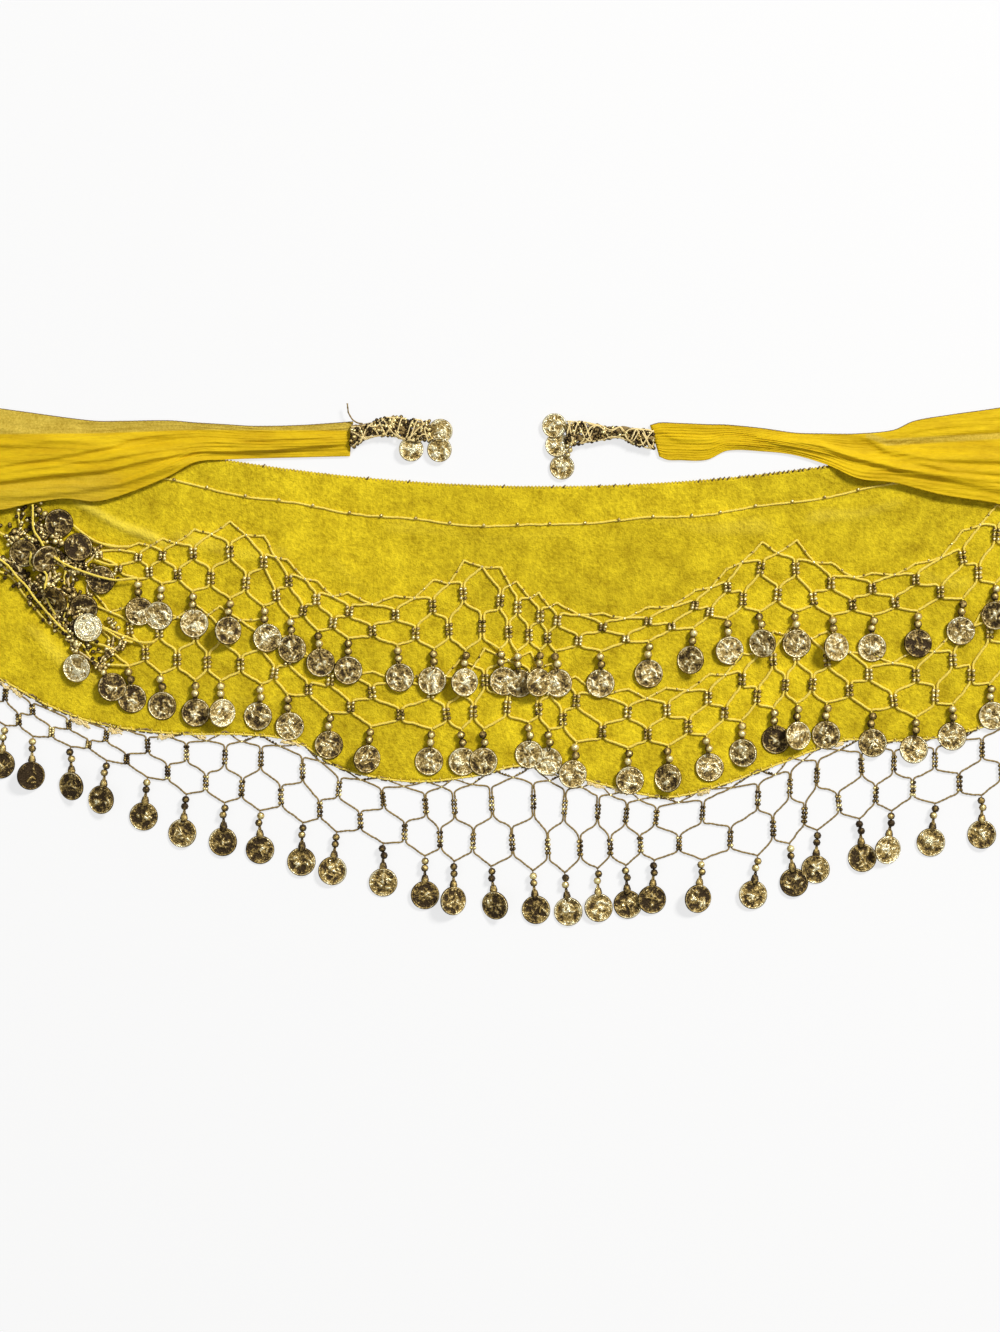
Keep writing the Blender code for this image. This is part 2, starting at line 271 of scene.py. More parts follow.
def add_node(tree, kind, inputs, **settings):
    """A node of this kind with its settings and inputs."""
    node = tree.nodes.new(kind)
    for label, value in settings.items():
        setattr(node, label, value)
    feed(tree, node, inputs)
    return node


def new_group(name, inputs, outputs):
    """A shader node group with float or colour sockets, and its input and output nodes."""
    group = bpy.data.node_groups.new(name, "ShaderNodeTree")
    for label, kind in inputs:
        group.interface.new_socket(label, in_out="INPUT", socket_type="NodeSocket" + kind)
    for label, kind in outputs:
        group.interface.new_socket(label, in_out="OUTPUT", socket_type="NodeSocket" + kind)
    return group, group.nodes.new("NodeGroupInput").outputs, group.nodes.new("NodeGroupOutput")


def add_noise(tree, place, scale, detail, roughness=0.5):
    """A noise texture read at place. Scale is in features a metre."""
    values = {"Vector": place, "Scale": scale, "Detail": detail, "Roughness": roughness}
    return add_node(tree, "ShaderNodeTexNoise", values).outputs["Fac"]


def add_range(tree, value, low, high, to_low=0.0, to_high=1.0):
    """Value stretched from low..high to another range, and held inside it."""
    values = {"Value": value, "From Min": low, "From Max": high, "To Min": to_low, "To Max": to_high}
    return add_node(tree, "ShaderNodeMapRange", values, clamp=True).outputs["Result"]


def add_maths(tree, operation, first, second):
    """A Math node on two values, either of which may be a number."""
    return add_node(tree, "ShaderNodeMath", {0: first, 1: second}, operation=operation).outputs[0]


def add_mix(tree, factor, first, second):
    """A colour mix. Each colour is a socket or an (r, g, b)."""
    values = {"Factor": factor, 6: first, 7: second}
    return add_node(tree, "ShaderNodeMix", values, data_type="RGBA").outputs[2]


print("node helpers ready")

# %% [markdown]
# ## Mottle and tarnish
#
# A group is built once and then placed in each material with its own values. Its sockets are made
# first, so that a material can feed it by name.


# %% Mottle and tarnish groups
def make_mottle():
    """Clouds and speckle between a dark and a light colour, with a fine height."""
    sockets = [("Vector", "Vector"), ("Dark", "Color"), ("Light", "Color"), ("Cloud Scale", "Float"),
               ("Speckle Scale", "Float"), ("Speckle", "Float")]
    group, given, result = new_group("mottle", sockets, [("Color", "Color"), ("Height", "Float")])
    cloud = add_noise(group, given["Vector"], given["Cloud Scale"], 4.0, 0.62)
    speckle = add_noise(group, given["Vector"], given["Speckle Scale"], 3.0, 0.7)
    clouds = add_range(group, cloud, 0.30, 0.70)
    grains = add_range(group, speckle, 0.28, 0.72)
    share = add_node(group, "ShaderNodeMix", {"Factor": given["Speckle"], 2: clouds, 3: grains})
    colour = add_mix(group, share.outputs[0], given["Dark"], given["Light"])
    feed(group, result, {"Color": colour, "Height": grains})
    return group


def make_tarnish():
    """Brass that is bright on the high places and dark in the low ones, in uneven spots."""
    sockets = [("Vector", "Vector"), ("Relief", "Float"), ("Tone", "Float"),
               ("Grain Scale", "Float"), ("Bright", "Color")]
    group, given, result = new_group("tarnish", sockets, [("Color", "Color"), ("Roughness", "Float"),
                                                          ("Height", "Float")])
    grain = add_noise(group, given["Vector"], given["Grain Scale"], 3.0, 0.65)
    spots = add_maths(group, "MULTIPLY", add_range(group, grain, 0.35, 0.65), 0.62)
    broad_scale = add_maths(group, "MULTIPLY", given["Grain Scale"], 0.25)
    broad = add_noise(group, given["Vector"], broad_scale, 1.0)
    patches = add_range(group, broad, 0.35, 0.65, -0.20, 0.42)
    wear = add_maths(group, "ADD", spots, given["Relief"])
    wear = add_maths(group, "ADD", add_maths(group, "ADD", wear, patches), given["Tone"])
    rubbed = add_range(group, wear, 0.25, 0.95)
    middle = add_mix(group, rubbed, (0.045, 0.026, 0.008), (0.56, 0.39, 0.115))
    colour = add_mix(group, add_range(group, wear, 0.85, 1.35), middle, given["Bright"])
    roughness = add_range(group, wear, 0.5, 1.3, 0.62, 0.30)
    feed(group, result, {"Color": colour, "Roughness": roughness, "Height": wear})
    return group


mottle = make_mottle()
tarnish = make_tarnish()
print("node groups", [group.name for group in bpy.data.node_groups])

# %% [markdown]
# ## Cloth materials
#
# Velvet is matt with a soft bloom at the edges of each fold, so it has a sheen lobe and almost no
# gloss. The chiffon is smoother and a warmer gold, with long fine crinkles, and it turns dull and
# napped where its points carry a nap.


# %% Velvet and chiffon
def start_material(name):
    """A material, its node tree, its Principled shader and its object coordinates."""
    material = bpy.data.materials.new(name)
    material.use_nodes = True
    tree = material.node_tree
    place = tree.nodes.new("ShaderNodeTexCoord").outputs["Object"]
    return material, tree, tree.nodes["Principled BSDF"], place


def add_mottle(tree, place, dark, light, cloud_scale, speckle_scale, speckle):
    """The mottle group with these values. Returns its colour and height."""
    values = {"Vector": place, "Dark": dark, "Light": light, "Cloud Scale": cloud_scale,
              "Speckle Scale": speckle_scale, "Speckle": speckle}
    node = add_node(tree, "ShaderNodeGroup", values, node_tree=mottle)
    return node.outputs["Color"], node.outputs["Height"]


def add_bump(tree, shader, height, distance):
    """A bump of this depth in metres."""
    bump = add_node(tree, "ShaderNodeBump", {"Height": height, "Strength": 1.0, "Distance": distance})
    feed(tree, shader, {"Normal": bump.outputs["Normal"]})


def carried(tree, name):
    """The value of this name that each point of a piece carries."""
    return add_node(tree, "ShaderNodeAttribute", {}, attribute_name=name).outputs["Fac"]


def stretched(tree, place, along):
    """The same place squeezed along x, for streaks."""
    node = add_node(tree, "ShaderNodeMapping", {"Vector": place})
    node.inputs["Scale"].default_value = (along, 1.0, 1.0)
    return node.outputs["Vector"]


def make_velvet():
    """Golden velvet: mottled nap with a sheen, and a painted highlight on the crests of its creases."""
    material, tree, shader, place = start_material("golden_velvet")
    colour, height = add_mottle(tree, place, (0.320, 0.210, 0.001), (0.900, 0.690, 0.018),
                                70.0, 430.0, 0.52)
    # Painted highlight: the crests of the creases are painted lighter, as where they catch the light.
    colour = add_mix(tree, carried(tree, "wear_and_painted_highlight"), colour, (1.0, 0.80, 0.10))
    broad = add_range(tree, add_noise(tree, place, 9.0, 2.0), 0.30, 0.70, 0.86, 1.12)
    shaded = add_node(tree, "ShaderNodeVectorMath", {0: colour, "Scale": broad}, operation="SCALE")
    feed(tree, shader, {"Base Color": shaded.outputs["Vector"], "Roughness": 0.88,
                        "Specular IOR Level": 0.15, "Sheen Weight": 0.25, "Sheen Roughness": 0.35,
                        "Sheen Tint": (1.0, 0.87, 0.35)})
    add_bump(tree, shader, height, 0.0005)
    return material


def make_chiffon():
    """Golden chiffon: smoother and warmer, with long fine crinkles."""
    material, tree, shader, place = start_material("golden_chiffon")
    smooth, _ = add_mottle(tree, stretched(tree, place, 0.35), (0.500, 0.300, 0.001),
                           (0.790, 0.550, 0.006), 90.0, 700.0, 0.35)
    napped, _ = add_mottle(tree, place, (0.330, 0.210, 0.010), (0.720, 0.540, 0.080),
                           120.0, 800.0, 0.7)
    # The nap also carries painted shade: a little of it over the whole left tie darkens that tie.
    feed(tree, shader, {"Base Color": add_mix(tree, carried(tree, "nap_and_painted_shade"), smooth, napped),
                        "Roughness": 0.62, "Specular IOR Level": 0.12, "Sheen Weight": 0.08,
                        "Sheen Roughness": 0.4, "Sheen Tint": (1.0, 0.85, 0.4)})
    add_bump(tree, shader, add_noise(tree, stretched(tree, place, 0.10), 900.0, 4.0, 0.6), 0.0006)
    return material


velvet = make_velvet()
chiffon = make_chiffon()
print("cloth", velvet.name, chiffon.name)

# %% [markdown]
# ## Thread and brass
#
# The threads are twisted cotton in five shades. The coins and beads are all one antique brass, told
# apart by a relief and a tone that each point carries.


# %% Thread and brass
def make_thread(name, dark, light):
    """Twisted cotton thread."""
    material, tree, shader, place = start_material(name)
    colour, height = add_mottle(tree, place, dark, light, 250.0, 1500.0, 0.5)
    feed(tree, shader, {"Base Color": colour, "Roughness": 0.7, "Sheen Weight": 0.2,
                        "Sheen Roughness": 0.5})
    add_bump(tree, shader, height, 0.0002)
    return material


def make_brass(name, grain_scale, bump_depth, metallic, bright):
    """Antique brass. Each point carries its relief, and each coin or bead its tone."""
    material, tree, shader, place = start_material(name)
    values = {"Vector": place, "Grain Scale": grain_scale, "Bright": bright,
              "Relief": carried(tree, "relief"), "Tone": carried(tree, "tone")}
    node = add_node(tree, "ShaderNodeGroup", values, node_tree=tarnish)
    feed(tree, shader, {"Base Color": node.outputs["Color"], "Metallic": metallic,
                        "Roughness": node.outputs["Roughness"]})
    add_bump(tree, shader, node.outputs["Height"], bump_depth)
    return material


thread = make_thread("yellow_thread", (0.84, 0.59, 0.035), (1.0, 0.82, 0.13))
net_thread = make_thread("brown_thread", (0.095, 0.058, 0.010), (0.42, 0.28, 0.075))
bunched_thread = make_thread("dusty_thread", (0.72, 0.50, 0.16), (1.0, 0.84, 0.42))
overlock = make_thread("overlock_thread", (0.045, 0.022, 0.008), (0.24, 0.14, 0.03))
edge_thread = make_thread("edge_thread", (0.30, 0.20, 0.015), (0.72, 0.54, 0.05))
coin_brass = make_brass("coin_brass", 900.0, 0.0004, 0.65, (1.0, 0.93, 0.62))
bead_brass = make_brass("bead_brass", 700.0, 0.0002, 0.60, (1.0, 0.88, 0.42))
print("materials", [material.name for material in bpy.data.materials])

# %% [markdown]
# ## Small things in great number
#
# The scarf has more than a hundred coins, over a thousand beads and many metres of thread. Each
# kind is worked out once as arrays of points and faces, and copies are moved into place and
# collected in one mesh, which is far lighter than an object for each. A collector keeps the points,
# the faces and two values for the brass: relief, how proud a point stands, and tone, how bright
# the coin or bead has been rubbed.


# %% Pieces and collectors
def new_piece(name, points, faces, material, slot, *nodes):
    """A smooth mesh on the scarf's one body, which stands for these nodes of the frame."""
    mesh = bpy.data.meshes.new(name)
    mesh.from_pydata(points.tolist(), [], faces)
    mesh.shade_smooth()
    mesh.materials.append(material)
    piece = bpy.data.objects.new(name, mesh)
    bpy.context.scene.collection.objects.link(piece)
    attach(piece, "root")
    if nodes:
        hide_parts(*nodes)
    print(name, "has", sum(len(face) - 2 for face in faces), "triangles")
    return piece


def carry(piece, label, values):
    """Give each point of a piece a value that its material reads."""
    layer = piece.data.attributes.new(label, "FLOAT", "POINT")
    layer.data.foreach_set("value", np.asarray(values, np.float32))


class Collector:
    """Points and faces of many small things, on their way into one mesh."""

    def __init__(self):
        self.points = []
        self.faces = []
        self.relief = []
        self.tone = []
        self.count = 0

    def add(self, points, faces, relief=0.5, tone=0.0):
        """Add one thing. Faces are rows of point numbers within it."""
        size = len(points)
        self.points.append(points)
        self.faces += [[self.count + i for i in face] for face in faces]
        self.relief.append(np.broadcast_to(relief, size))
        self.tone.append(np.full(size, float(tone)))
        self.count += size

    def piece(self, name, material, slot, *nodes):
        """Make the mesh object."""
        piece = new_piece(name, np.concatenate(self.points), self.faces, material, slot, *nodes)
        carry(piece, "relief", np.concatenate(self.relief))
        carry(piece, "tone", np.concatenate(self.tone))
        return piece


def turned(points, angle, first, second):
    """Points turned by an angle in the plane of two axes, from the first towards the second."""
    turn = np.eye(3)
    turn[first, first] = turn[second, second] = math.cos(angle)
    turn[first, second] = math.sin(angle)
    turn[second, first] = -math.sin(angle)
    return points @ turn


print("collectors ready")

# %% [markdown]
# ## Thread
#
# Real thread is two plies wound round each other. A round tube would look like plastic, so the
# tube's outline has two lobes, and they wind on along the thread.

# %% Thread
THREAD_STEP = 0.0013
TWIST = 0.0056
PLY_DEPTH = 0.20


def strip_faces(rows, sides):
    """Quads of a tube of this many rings."""
    ring = np.arange(sides)
    following = np.roll(ring, -1)
    faces = []
    for low in range(0, (rows - 1) * sides, sides):
        high = low + sides
        faces.append(np.stack([low + ring, high + ring, high + following, low + following], 1))
    return np.concatenate(faces).tolist()


def resample(path, step):
    """Points about step apart along a path, and how far along it each one is."""
    path = np.asarray(path, float)
    lengths = np.linalg.norm(np.diff(path, axis=0), axis=1)
    along = np.concatenate([[0.0], np.cumsum(lengths)])
    count = max(2, int(round(along[-1] / step)) + 1)
    places = np.linspace(0.0, along[-1], count)
    return np.stack([np.interp(places, along, path[:, k]) for k in range(3)], 1), places


def unit(rows):
    """Each row scaled to a length of one."""
    return rows / (np.linalg.norm(rows, axis=1, keepdims=True) + 1e-12)


def add_thread(collector, path, radius, sides=6, step=THREAD_STEP, pitch=TWIST, tone=0.0):
    """Lay a two-ply thread along a path, closed at both ends."""
    centre, along = resample(path, step)
    tangent = unit(np.gradient(centre, axis=0))
    across = unit(np.cross(tangent, (0.0, 0.0, 1.0)))
    above = np.cross(across, tangent)
    angle = np.arange(sides) * 2 * math.pi / sides
    wind = angle[None, :] - 2 * math.pi * along[:, None] / pitch
    reach = radius * (1 + PLY_DEPTH * np.cos(2 * wind))
    points = (centre[:, None, :] + across[:, None, :] * (reach * np.cos(angle))[:, :, None]
              + above[:, None, :] * (reach * np.sin(angle))[:, :, None])
    last = (len(centre) - 1) * sides
    caps = [list(range(sides)), list(range(last + sides - 1, last - 1, -1))]
    collector.add(points.reshape(-1, 3), strip_faces(len(centre), sides) + caps, 0.5, tone)


print("a thread has a ring every", THREAD_STEP)

# %% [markdown]
# ## Outlines of the ties
#
# The ties lie over the nets, and a bead under a tie would poke through it. So their outlines come
# first, and a bead that a tie covers is left out.

# %% Outlines of the ties
# x, upper y, lower y
TIE_LEFT = [
    (-0.450, 0.171, 0.1015), (-0.400, 0.152, 0.085), (-0.345, 0.1435, 0.073),
    (-0.300, 0.1375, 0.0765), (-0.278, 0.1345, 0.0812), (-0.260, 0.132, 0.0835),
    (-0.242, 0.130, 0.0818), (-0.225, 0.1300, 0.0860), (-0.199, 0.1303, 0.0965),
    (-0.182, 0.129, 0.1055), (-0.165, 0.128, 0.1070), (-0.148, 0.127, 0.1078),
    (-0.120, 0.1275, 0.1085), (-0.088, 0.1297, 0.1092),
]
TIE_RIGHT = [
    (0.450, 0.1565, 0.1015), (0.400, 0.149, 0.087), (0.345, 0.143, 0.078), (0.300, 0.138, 0.080),
    (0.294, 0.1371, 0.0813), (0.265, 0.133, 0.0857), (0.248, 0.1299, 0.0900),
    (0.236, 0.1246, 0.0930), (0.214, 0.1224, 0.0957), (0.196, 0.1224, 0.1040),
    (0.177, 0.1229, 0.1098), (0.1585, 0.1255, 0.1120), (0.1365, 0.1277, 0.1125),
    (0.124, 0.1280, 0.1070), (0.105, 0.1288, 0.1068), (0.0955, 0.1290, 0.1070),
    (0.0900, 0.1275, 0.1090),
]
TIE_LOW_LEFT = smooth_line([(x, low) for x, _, low in sorted(TIE_LEFT)])
TIE_LOW_RIGHT = smooth_line([(x, low) for x, _, low in sorted(TIE_RIGHT)])
TIE_TIP = 0.003
NO_TIE = 1.0


def tie_low_edge(x):
    """The lower edge of the tie over this column, or far above the scarf where there is none."""
    if x < TIE_LEFT[-1][0] - TIE_TIP:
        return TIE_LOW_LEFT(max(x, TIE_LEFT[0][0]))
    if x > TIE_RIGHT[-1][0] + TIE_TIP:
        return TIE_LOW_RIGHT(min(x, TIE_RIGHT[0][0]))
    return NO_TIE


print("ties reach in to", TIE_LEFT[-1][0], TIE_RIGHT[-1][0])

# %% [markdown]
# ## Beads
#
# A bead is a small cast ball, and one with only 40 faces is round enough when it is shaded
# smooth. Its top is painted bright and its sides dark, a painted highlight and painted shade
# that its relief gives.

# %% Beads
BEAD_SIDES = 8
BEAD_RINGS = 5
TIE_COVER = 0.0015
FLOOR_GAP = 0.0001
# How bright a bead's top is painted: a painted highlight, with painted shade on its sides.
BEAD_PAINTED_HIGHLIGHT = 0.90


def ball(around, rings):
    """A unit sphere as points and faces, with its axis along z."""
    points = [(0.0, 0.0, 1.0)]
    for i in range(1, rings):
        polar = math.pi * i / rings
        for j in range(around):
            turn = 2 * math.pi * j / around
            points.append((math.sin(polar) * math.cos(turn), math.sin(polar) * math.sin(turn),
                           math.cos(polar)))
    points.append((0.0, 0.0, -1.0))
    faces = []
    last = len(points) - 1
    for j in range(around):
        k = (j + 1) % around
        faces.append([0, 1 + j, 1 + k])
        for i in range(rings - 2):
            a, b = 1 + i * around, 1 + (i + 1) * around
            faces.append([a + j, b + j, b + k, a + k])
        base = 1 + (rings - 2) * around
        faces.append([base + j, last, base + k])
    return np.array(points), faces


BALL_POINTS, BALL_FACES = ball(BEAD_SIDES, BEAD_RINGS)


def add_bead(collector, place, radius, tone, half_sizes=None, swing=0.0):
    """A round bead, or a long one with these half sizes turned by swing, unless a tie hides it."""
    if place[1] > tie_low_edge(place[0]) + TIE_COVER:
        return
    points = turned(BALL_POINTS * (half_sizes or (radius, radius, radius)), swing, 0, 1) + place
    points[:, 2] += max(0.0, FLOOR_GAP - points[:, 2].min())
    # The relief paints the bead's top bright and its sides dark: painted highlight and painted shade.
    collector.add(points, BALL_FACES, BEAD_PAINTED_HIGHLIGHT * np.clip(BALL_POINTS[:, 2], 0.0, 1.0) ** 2, tone)


def add_wire(collector, path, radius):
    """A thin brass wire along a path, with no twist to speak of."""
    add_thread(collector, path, radius, sides=5, pitch=1.0, tone=-0.3)


print("a bead has", len(BALL_FACES), "faces")

# %% [markdown]
# ## The stamped coin
#
# Each coin is thin sheet brass, stamped with a rim, a ring of short dashes and a worn ornament, and
# pierced near the edge. It could be a flat disc with a bump map, but then its edge would stay flat
# when a coin tips towards the light. So the relief is real: a polar grid whose height is a sum of
# soft strokes. Each die has its own strokes, drawn at random from a seed, and one has plain rings,
# as the back of such a coin has.

# %% Dies of the coins
COIN_THICKNESS = 0.0007
RELIEF_DEPTH = 0.00050
DIES = 6
PLAIN_DIE = DIES - 1
DASHES = 17
STROKES = 15


def bell(value, centre, width):
    """A soft bump around centre."""
    return np.exp(-((value - centre) / width) ** 2)


def make_die(number):
    """A function giving how proud the stamping stands, 0 to 1, at a place on this die's coin."""
    chance = np.random.default_rng(100 + number)
    dashes = [(2 * math.pi * (k + 0.35 * chance.random()) / DASHES, 0.75 + 0.06 * chance.random(),
               0.06 + 0.05 * chance.random(), 0.4 + 0.6 * chance.random()) for k in range(DASHES)]
    strokes = []
    for _ in range(STROKES):
        reach, turn = 0.60 * math.sqrt(chance.random()), 2 * math.pi * chance.random()
        strokes.append((reach * math.cos(turn), reach * math.sin(turn), 3.14 * chance.random(),
                        0.09 + 0.16 * chance.random(), 0.045 + 0.035 * chance.random(),
                        0.5 + 0.5 * chance.random()))
    wear_and_painted_highlight = chance.random() * 6.28

    def relief(radius, turn):
        if number == PLAIN_DIE:
            plain = bell(radius, 0.55, 0.06) + bell(radius, 0.30, 0.05) + bell(radius, 0.0, 0.08)
            specks = 0.8 * bell(radius, 0.76, 0.05) * (0.5 + 0.5 * math.cos(15 * turn))
            return min(1.0, bell(radius, 0.93, 0.05) + 0.9 * plain + specks)
        total = bell(radius, 0.92, 0.05) * (0.75 + 0.25 * math.cos(turn + wear_and_painted_highlight))
        for angle, reach, width, height in dashes:
            away = (turn - angle + math.pi) % (2 * math.pi) - math.pi
            total += height * bell(away, 0.0, width) * bell(radius, reach, 0.065)
        x, y = radius * math.cos(turn), radius * math.sin(turn)
        for cx, cy, lean, long, short, height in strokes:
            along = (x - cx) * math.cos(lean) + (y - cy) * math.sin(lean)
            across = (y - cy) * math.cos(lean) - (x - cx) * math.sin(lean)
            total += height * bell(along, 0.0, long) * bell(across, 0.0, short)
        return min(1.0, total)

    return relief

print("dies", DIES, "each with", DASHES, "dashes and", STROKES, "strokes")

# %% [markdown]
# ## Stamping the coins
#
# A coin's points lie in rings, so the rim and the ring of dashes run round it without jagged steps.
# Its outermost ring is a little lower, and painted dark as painted shade along the coin's edge.

# %% Stamped coins
COIN_RINGS = [0.09, 0.17, 0.25, 0.33, 0.41, 0.49, 0.56, 0.62, 0.68, 0.74, 0.79, 0.84, 0.88, 0.92,
              0.96, 1.0]
COIN_SEGMENTS = 48
BACK_RINGS = ((1.0, 0.00015), (0.93, 0.0))
BACK_RELIEF = 0.2
CROWN = 0.8


def stamp_coin(number):
    """Points, faces and relief of a coin of unit radius, lying face up at the origin."""
    relief_at = make_die(number)
    turns = [2 * math.pi * j / COIN_SEGMENTS for j in range(COIN_SEGMENTS)]
    points, relief = [], []
    for ring in COIN_RINGS:
        for turn in turns:
            proud = relief_at(ring, turn)
            height = COIN_THICKNESS + RELIEF_DEPTH * proud
            # Painted shade: the outermost ring is painted dark along the coin's edge.
            if ring == 1.0:
                height, proud = COIN_THICKNESS * 0.8, -0.35
            points.append((ring * math.sin(turn), ring * math.cos(turn), height))
            relief.append(proud)
    for reach, height in BACK_RINGS:
        for turn in turns:
            points.append((reach * math.sin(turn), reach * math.cos(turn), height))
            relief.append(BACK_RELIEF)
    points += [(0.0, 0.0, COIN_THICKNESS + RELIEF_DEPTH * CROWN), (0.0, 0.0, 0.0)]
    relief += [CROWN, BACK_RELIEF]
    faces = []
    total = len(COIN_RINGS) + len(BACK_RINGS)
    for j in range(COIN_SEGMENTS):
        k = (j + 1) % COIN_SEGMENTS
        faces.append([len(points) - 2, k, j])
        for a in range(0, (total - 1) * COIN_SEGMENTS, COIN_SEGMENTS):
            b = a + COIN_SEGMENTS
            faces.append([a + j, a + k, b + k, b + j])
        base = (total - 1) * COIN_SEGMENTS
        faces.append([base + j, base + k, len(points) - 1])
    return np.array(points), faces, np.array(relief)


COINS = [stamp_coin(number) for number in range(DIES)]


def add_coin(collector, place, swing, tip, roll, spin, motif, tone, radius=COIN_RADIUS):
    """A coin hanging at place. Swing turns it about z, tip and roll lean it, spin turns its face."""
    points, faces, relief = COINS[motif]
    points = turned(points * (radius, radius, 1.0), spin, 0, 1)
    points = turned(turned(points, tip, 1, 2), roll, 0, 2)
    points = turned(points, swing, 0, 1)
    lift = -points[:, 2].min()
    collector.add(points + place + (0.0, 0.0, lift), faces, relief, tone)


print("a coin has", len(COINS[0][1]), "faces")

# %% [markdown]
# ## The velvet panel
#
# The panel is one crescent of velvet. It is built as a thin shell: a fine grid between the waist
# edge and the hem for the top, the same grid one cloth thickness lower for the back, and a wall
# round the edge. Laid out by hand it is never quite flat, so a few long soft ridges and troughs,
# each with its own place, length and height, lift the grid a little.

# %% Panel surface
PANEL_COLUMNS = 360
PANEL_ROWS = 78

# Soft creases in the velvet: from x, y to x, y, height, half width
CREASES = [
    (-0.258, 0.0825, -0.200, 0.0555, 0.0022, 0.0030),
    (-0.248, 0.084, -0.186, 0.0580, 0.0006, 0.0070),
    (-0.196, 0.058, -0.120, 0.048, 0.0012, 0.0080),
    (-0.080, 0.066, 0.060, 0.060, 0.0008, 0.0090),
    (-0.110, 0.050, -0.060, 0.020, 0.0008, 0.0060),
    (0.070, 0.072, 0.170, 0.064, 0.0010, 0.0080),
    (0.180, 0.070, 0.250, 0.082, 0.0012, 0.0060),
    (-0.290, 0.010, -0.235, -0.030, 0.0012, 0.0070),
    (0.240, 0.040, 0.290, 0.030, 0.0008, 0.0070),
    (0.320, 0.110, 0.400, 0.060, 0.0020, 0.0070),
    (-0.400, 0.080, -0.330, 0.030, 0.0020, 0.0080),
    (0.020, 0.010, 0.110, -0.020, 0.0006, 0.0080),
    (-0.190, -0.030, -0.120, -0.040, 0.0008, 0.0060),
]


def crease_height(x, y):
    """How far the creases lift the velvet at these places."""
    height = np.zeros_like(x)
    for x0, y0, x1, y1, rise, width in CREASES:
        dx, dy = x1 - x0, y1 - y0
        length = math.hypot(dx, dy)
        along = ((x - x0) * dx + (y - y0) * dy) / length ** 2
        away = ((x - x0) * dy - (y - y0) * dx) / length
        wobble = 0.25 * width * np.sin(9 * along)
        ends = np.exp(-np.maximum(0.0, np.abs(along - 0.5) - 0.32) ** 2 / 0.03)
        height += rise * ends * np.exp(-((away + wobble) / width) ** 2)
    rippled = 0.00022 * (np.sin(38 * x + 21 * y) * np.sin(55 * y - 13 * x) + 1.0)
    return height + rippled


def panel_top(x, y):
    """Height of the velvet's face at a place."""
    return CLOTH + float(crease_height(np.float64(x), np.float64(y)))


def close_shell(top, bottom):
    """Points and faces of a closed shell between two matching grids of points."""
    rows, columns = top.shape[:2]
    size = rows * columns
    points = np.concatenate([top.reshape(-1, 3), bottom.reshape(-1, 3)])
    grid = np.arange(size).reshape(rows, columns)
    a, b, c, d = grid[:-1, :-1], grid[:-1, 1:], grid[1:, 1:], grid[1:, :-1]
    upper = np.stack([a, d, c, b], -1).reshape(-1, 4)
    lower = np.stack([a, b, c, d], -1).reshape(-1, 4) + size
    border = grid[0].tolist() + grid[1:, -1].tolist()
    border += grid[-1, -2::-1].tolist() + grid[-2:0:-1, 0].tolist()
    walls = [[first, second, second + size, first + size]
             for first, second in zip(border, border[1:] + border[:1])]
    return points, upper.tolist() + lower.tolist() + walls


def surface_area(grid):
    """Area of a grid of points."""
    first = np.cross(grid[1:, :-1] - grid[:-1, :-1], grid[:-1, 1:] - grid[:-1, :-1])
    second = np.cross(grid[:-1, 1:] - grid[1:, 1:], grid[1:, :-1] - grid[1:, 1:])
    return float(np.linalg.norm(first, axis=-1).sum() + np.linalg.norm(second, axis=-1).sum()) / 2


def build_panel():
    """The velvet crescent, and the area of its face."""
    xs = np.linspace(-HALF_LENGTH, HALF_LENGTH, PANEL_COLUMNS)
    shares = np.linspace(0.0, 1.0, PANEL_ROWS)
    waist = np.array([waist_line(x) for x in xs])
    hem = np.array([hem_line(x) for x in xs])
    x = np.broadcast_to(xs, (PANEL_ROWS, PANEL_COLUMNS))
    y = waist + (hem - waist) * shares[:, None]
    height = crease_height(x, y)
    top = np.stack([x, y, CLOTH + height], -1)
    bottom = np.stack([x, y, height * 0.9], -1)
    piece = new_piece("velvet_panel", *close_shell(top, bottom), velvet, "velvet", "panel")
    # Painted highlight on the crests of the creases, stronger where a crease stands higher.
    wear_and_painted_highlight = 0.42 * np.clip((height - 0.0009) / 0.0013, 0.0, 1.0).reshape(-1)
    carry(piece, "wear_and_painted_highlight", np.tile(wear_and_painted_highlight, 2))
    return piece, surface_area(top), float(height.max())


panel, panel_area, highest_crease = build_panel()
print("panel area", round(panel_area, 4), "highest crease", round(highest_crease, 4))

# %% [markdown]
# ## Waist edge
#
# The waist edge is overlocked: a fine thread loops over the raw edge so the velvet can't fray. One
# zigzag along the edge gives the same look as the loops of the real stitch.

# %% Overlock stitch
rng = np.random.default_rng(7)
OVERLOCK_STEP = 0.00105
OVERLOCK_RADIUS = 0.00030


def overlock_path():
    """The zigzag of the overlock stitch along the waist edge."""
    path = []
    for i, x in enumerate(np.arange(-0.448, 0.448, OVERLOCK_STEP)):
        edge = waist_line(x)
        if i % 2:
            path.append((x, edge + 0.0004 + 0.0002 * rng.random(), 0.0009))
        else:
            y = edge - 0.0007 - 0.0009 * rng.random()
            path.append((x, y, panel_top(x, edge - 0.002) + 0.0001))
    return path


overlock_threads = Collector()
add_thread(overlock_threads, overlock_path(), OVERLOCK_RADIUS, sides=4, step=0.0007)
overlock_edge = overlock_threads.piece("waist_overlock", edge_thread, "thread")

# %% [markdown]
# ## Hem cord
#
# The hem is finished with a thin yellow cord, which is also what the lowest net hangs from. Small
# stitches hold it, so a short thread crosses it every few millimetres.

# %% Hem cord
HEM_STITCH = 0.0062
CORD_RADIUS = 0.00062
STITCH_RADIUS = 0.00032


